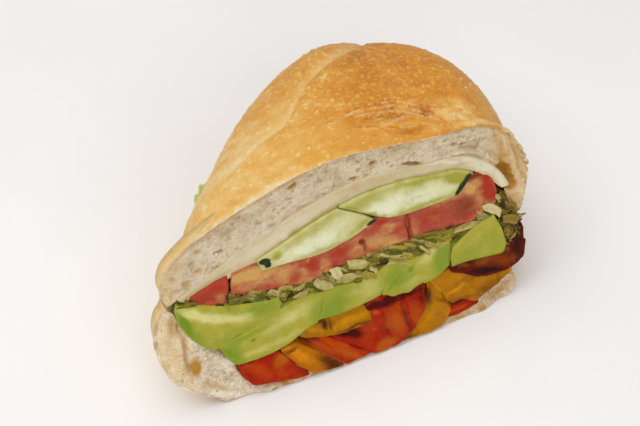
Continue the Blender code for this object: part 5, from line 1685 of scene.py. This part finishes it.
def aimed(name, data, place, aim):
    """An object of the stage at its place, turned to look at aim."""
    thing = bpy.data.objects.new(name, data)
    thing.location = place
    thing.rotation_mode = "QUATERNION"
    thing.rotation_quaternion = (Vector(aim) - Vector(place)).to_track_quat("-Z", "Y")
    bpy.context.scene.collection.objects.link(thing)
    return thing


class SANDWICH_OT_stage(bpy.types.Operator):
    """Make the table top, the lights, the room light and the camera"""
    bl_idname = "sandwich.stage"
    bl_label = "Stage"

    def execute(self, context):
        looks = context.scene.sandwich_stage
        scene = context.scene
        corners = FLOOR_HALF * np.array([(-1, -1, 0), (1, -1, 0), (1, 1, 0), (-1, 1, 0)])
        mesh = bpy.data.meshes.new("table_top")
        mesh.from_pydata(corners.tolist(), [], [(0, 1, 2, 3)])
        # Painted board: matt, with a faint unevenness from the roller.
        material, tree, place, shader = new_material("Painted board")
        cloud = add_node(tree, "ShaderNodeTexNoise", {"Vector": place,
                                                      "Scale": 1 / FLOOR_CLOUDS})
        tint = add_node(tree, "ShaderNodeMix", {0: cloud.outputs[0], 6: looks.floor,
                                                7: FLOOR_PALER}, data_type="RGBA").outputs[2]
        feed(tree, shader, {"Base Color": tint, "Roughness": 0.7})
        mesh.materials.append(material)
        floor = bpy.data.objects.new("table_top", mesh)
        scene.collection.objects.link(floor)
        floor.location.z = CAD_BOX[0].z - FLOOR_DROP
        floor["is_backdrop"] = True

        for name, power, (wide, place) in (("overhead_softbox", looks.light, OVERHEAD),
                                           ("front_softbox", looks.fill, FRONT)):
            light = bpy.data.lights.new(name, "AREA")
            light.shape, light.size, light.energy = "SQUARE", wide, power
            aimed(name, light, place, LAMP_AIM)

        world = bpy.data.worlds.new("Room")
        world.use_nodes = True
        back = world.node_tree.nodes["Background"]
        back.inputs["Color"].default_value = linear("#FFFFFF")
        back.inputs["Strength"].default_value = looks.sky
        scene.world = world

        camera = bpy.data.cameras.new("camera")
        camera.lens = looks.lens
        camera.clip_start, camera.clip_end = CAMERA_CLIP
        scene.camera = aimed("camera", camera, CAMERA_PLACE, CAMERA_AIM)
        scene.view_settings.view_transform = "Standard"
        return {"FINISHED"}


class SANDWICH_PT_panel(bpy.types.Panel):
    """Lists the pieces and their settings"""
    bl_idname = "SANDWICH_PT_panel"
    bl_label = "Sandwich"
    bl_space_type = "VIEW_3D"
    bl_region_type = "UI"
    bl_category = "Sandwich"

    def draw(self, context):
        for group in (context.scene.sandwich_bread, context.scene.sandwich_fillings,
                      context.scene.sandwich_stage):
            box = self.layout.box()
            for key in group.__annotations__:
                box.prop(group, key)
        for operator in OPERATORS:
            self.layout.operator(operator.bl_idname)


GROUPS = {"sandwich_bread": BreadLooks, "sandwich_fillings": FillingLooks,
          "sandwich_stage": StageLooks}
OPERATORS = (SANDWICH_OT_stage, SANDWICH_OT_crown, SANDWICH_OT_heel, SANDWICH_OT_cheese,
             SANDWICH_OT_cucumber, SANDWICH_OT_tomato, SANDWICH_OT_avocado,
             SANDWICH_OT_peppers, SANDWICH_OT_lettuce, SANDWICH_OT_sprouts, SANDWICH_OT_leaf,
             SANDWICH_OT_crumbs)


def register():
    for group in (*GROUPS.values(), *OPERATORS, SANDWICH_PT_panel):
        bpy.utils.register_class(group)
    for name, group in GROUPS.items():
        setattr(bpy.types.Scene, name, PointerProperty(type=group))


def unregister():
    for name in GROUPS:
        delattr(bpy.types.Scene, name)
    for group in (SANDWICH_PT_panel, *reversed(OPERATORS), *reversed(GROUPS.values())):
        bpy.utils.unregister_class(group)


def main():
    register()
    bpy.ops.sandwich.stage()
    bpy.ops.sandwich.crown()
    bpy.ops.sandwich.heel()
    bpy.ops.sandwich.cheese()
    bpy.ops.sandwich.cucumber()
    bpy.ops.sandwich.tomato()
    bpy.ops.sandwich.avocado()
    bpy.ops.sandwich.peppers()
    bpy.ops.sandwich.lettuce()
    bpy.ops.sandwich.sprouts()
    bpy.ops.sandwich.leaf()
    bpy.ops.sandwich.crumbs()
    boxes = {"cad": CAD_BOX, "visual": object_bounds()}
    {name: [list(corner) for corner in box] for name, box in boxes.items()}


if __name__ == "__main__":
    main()
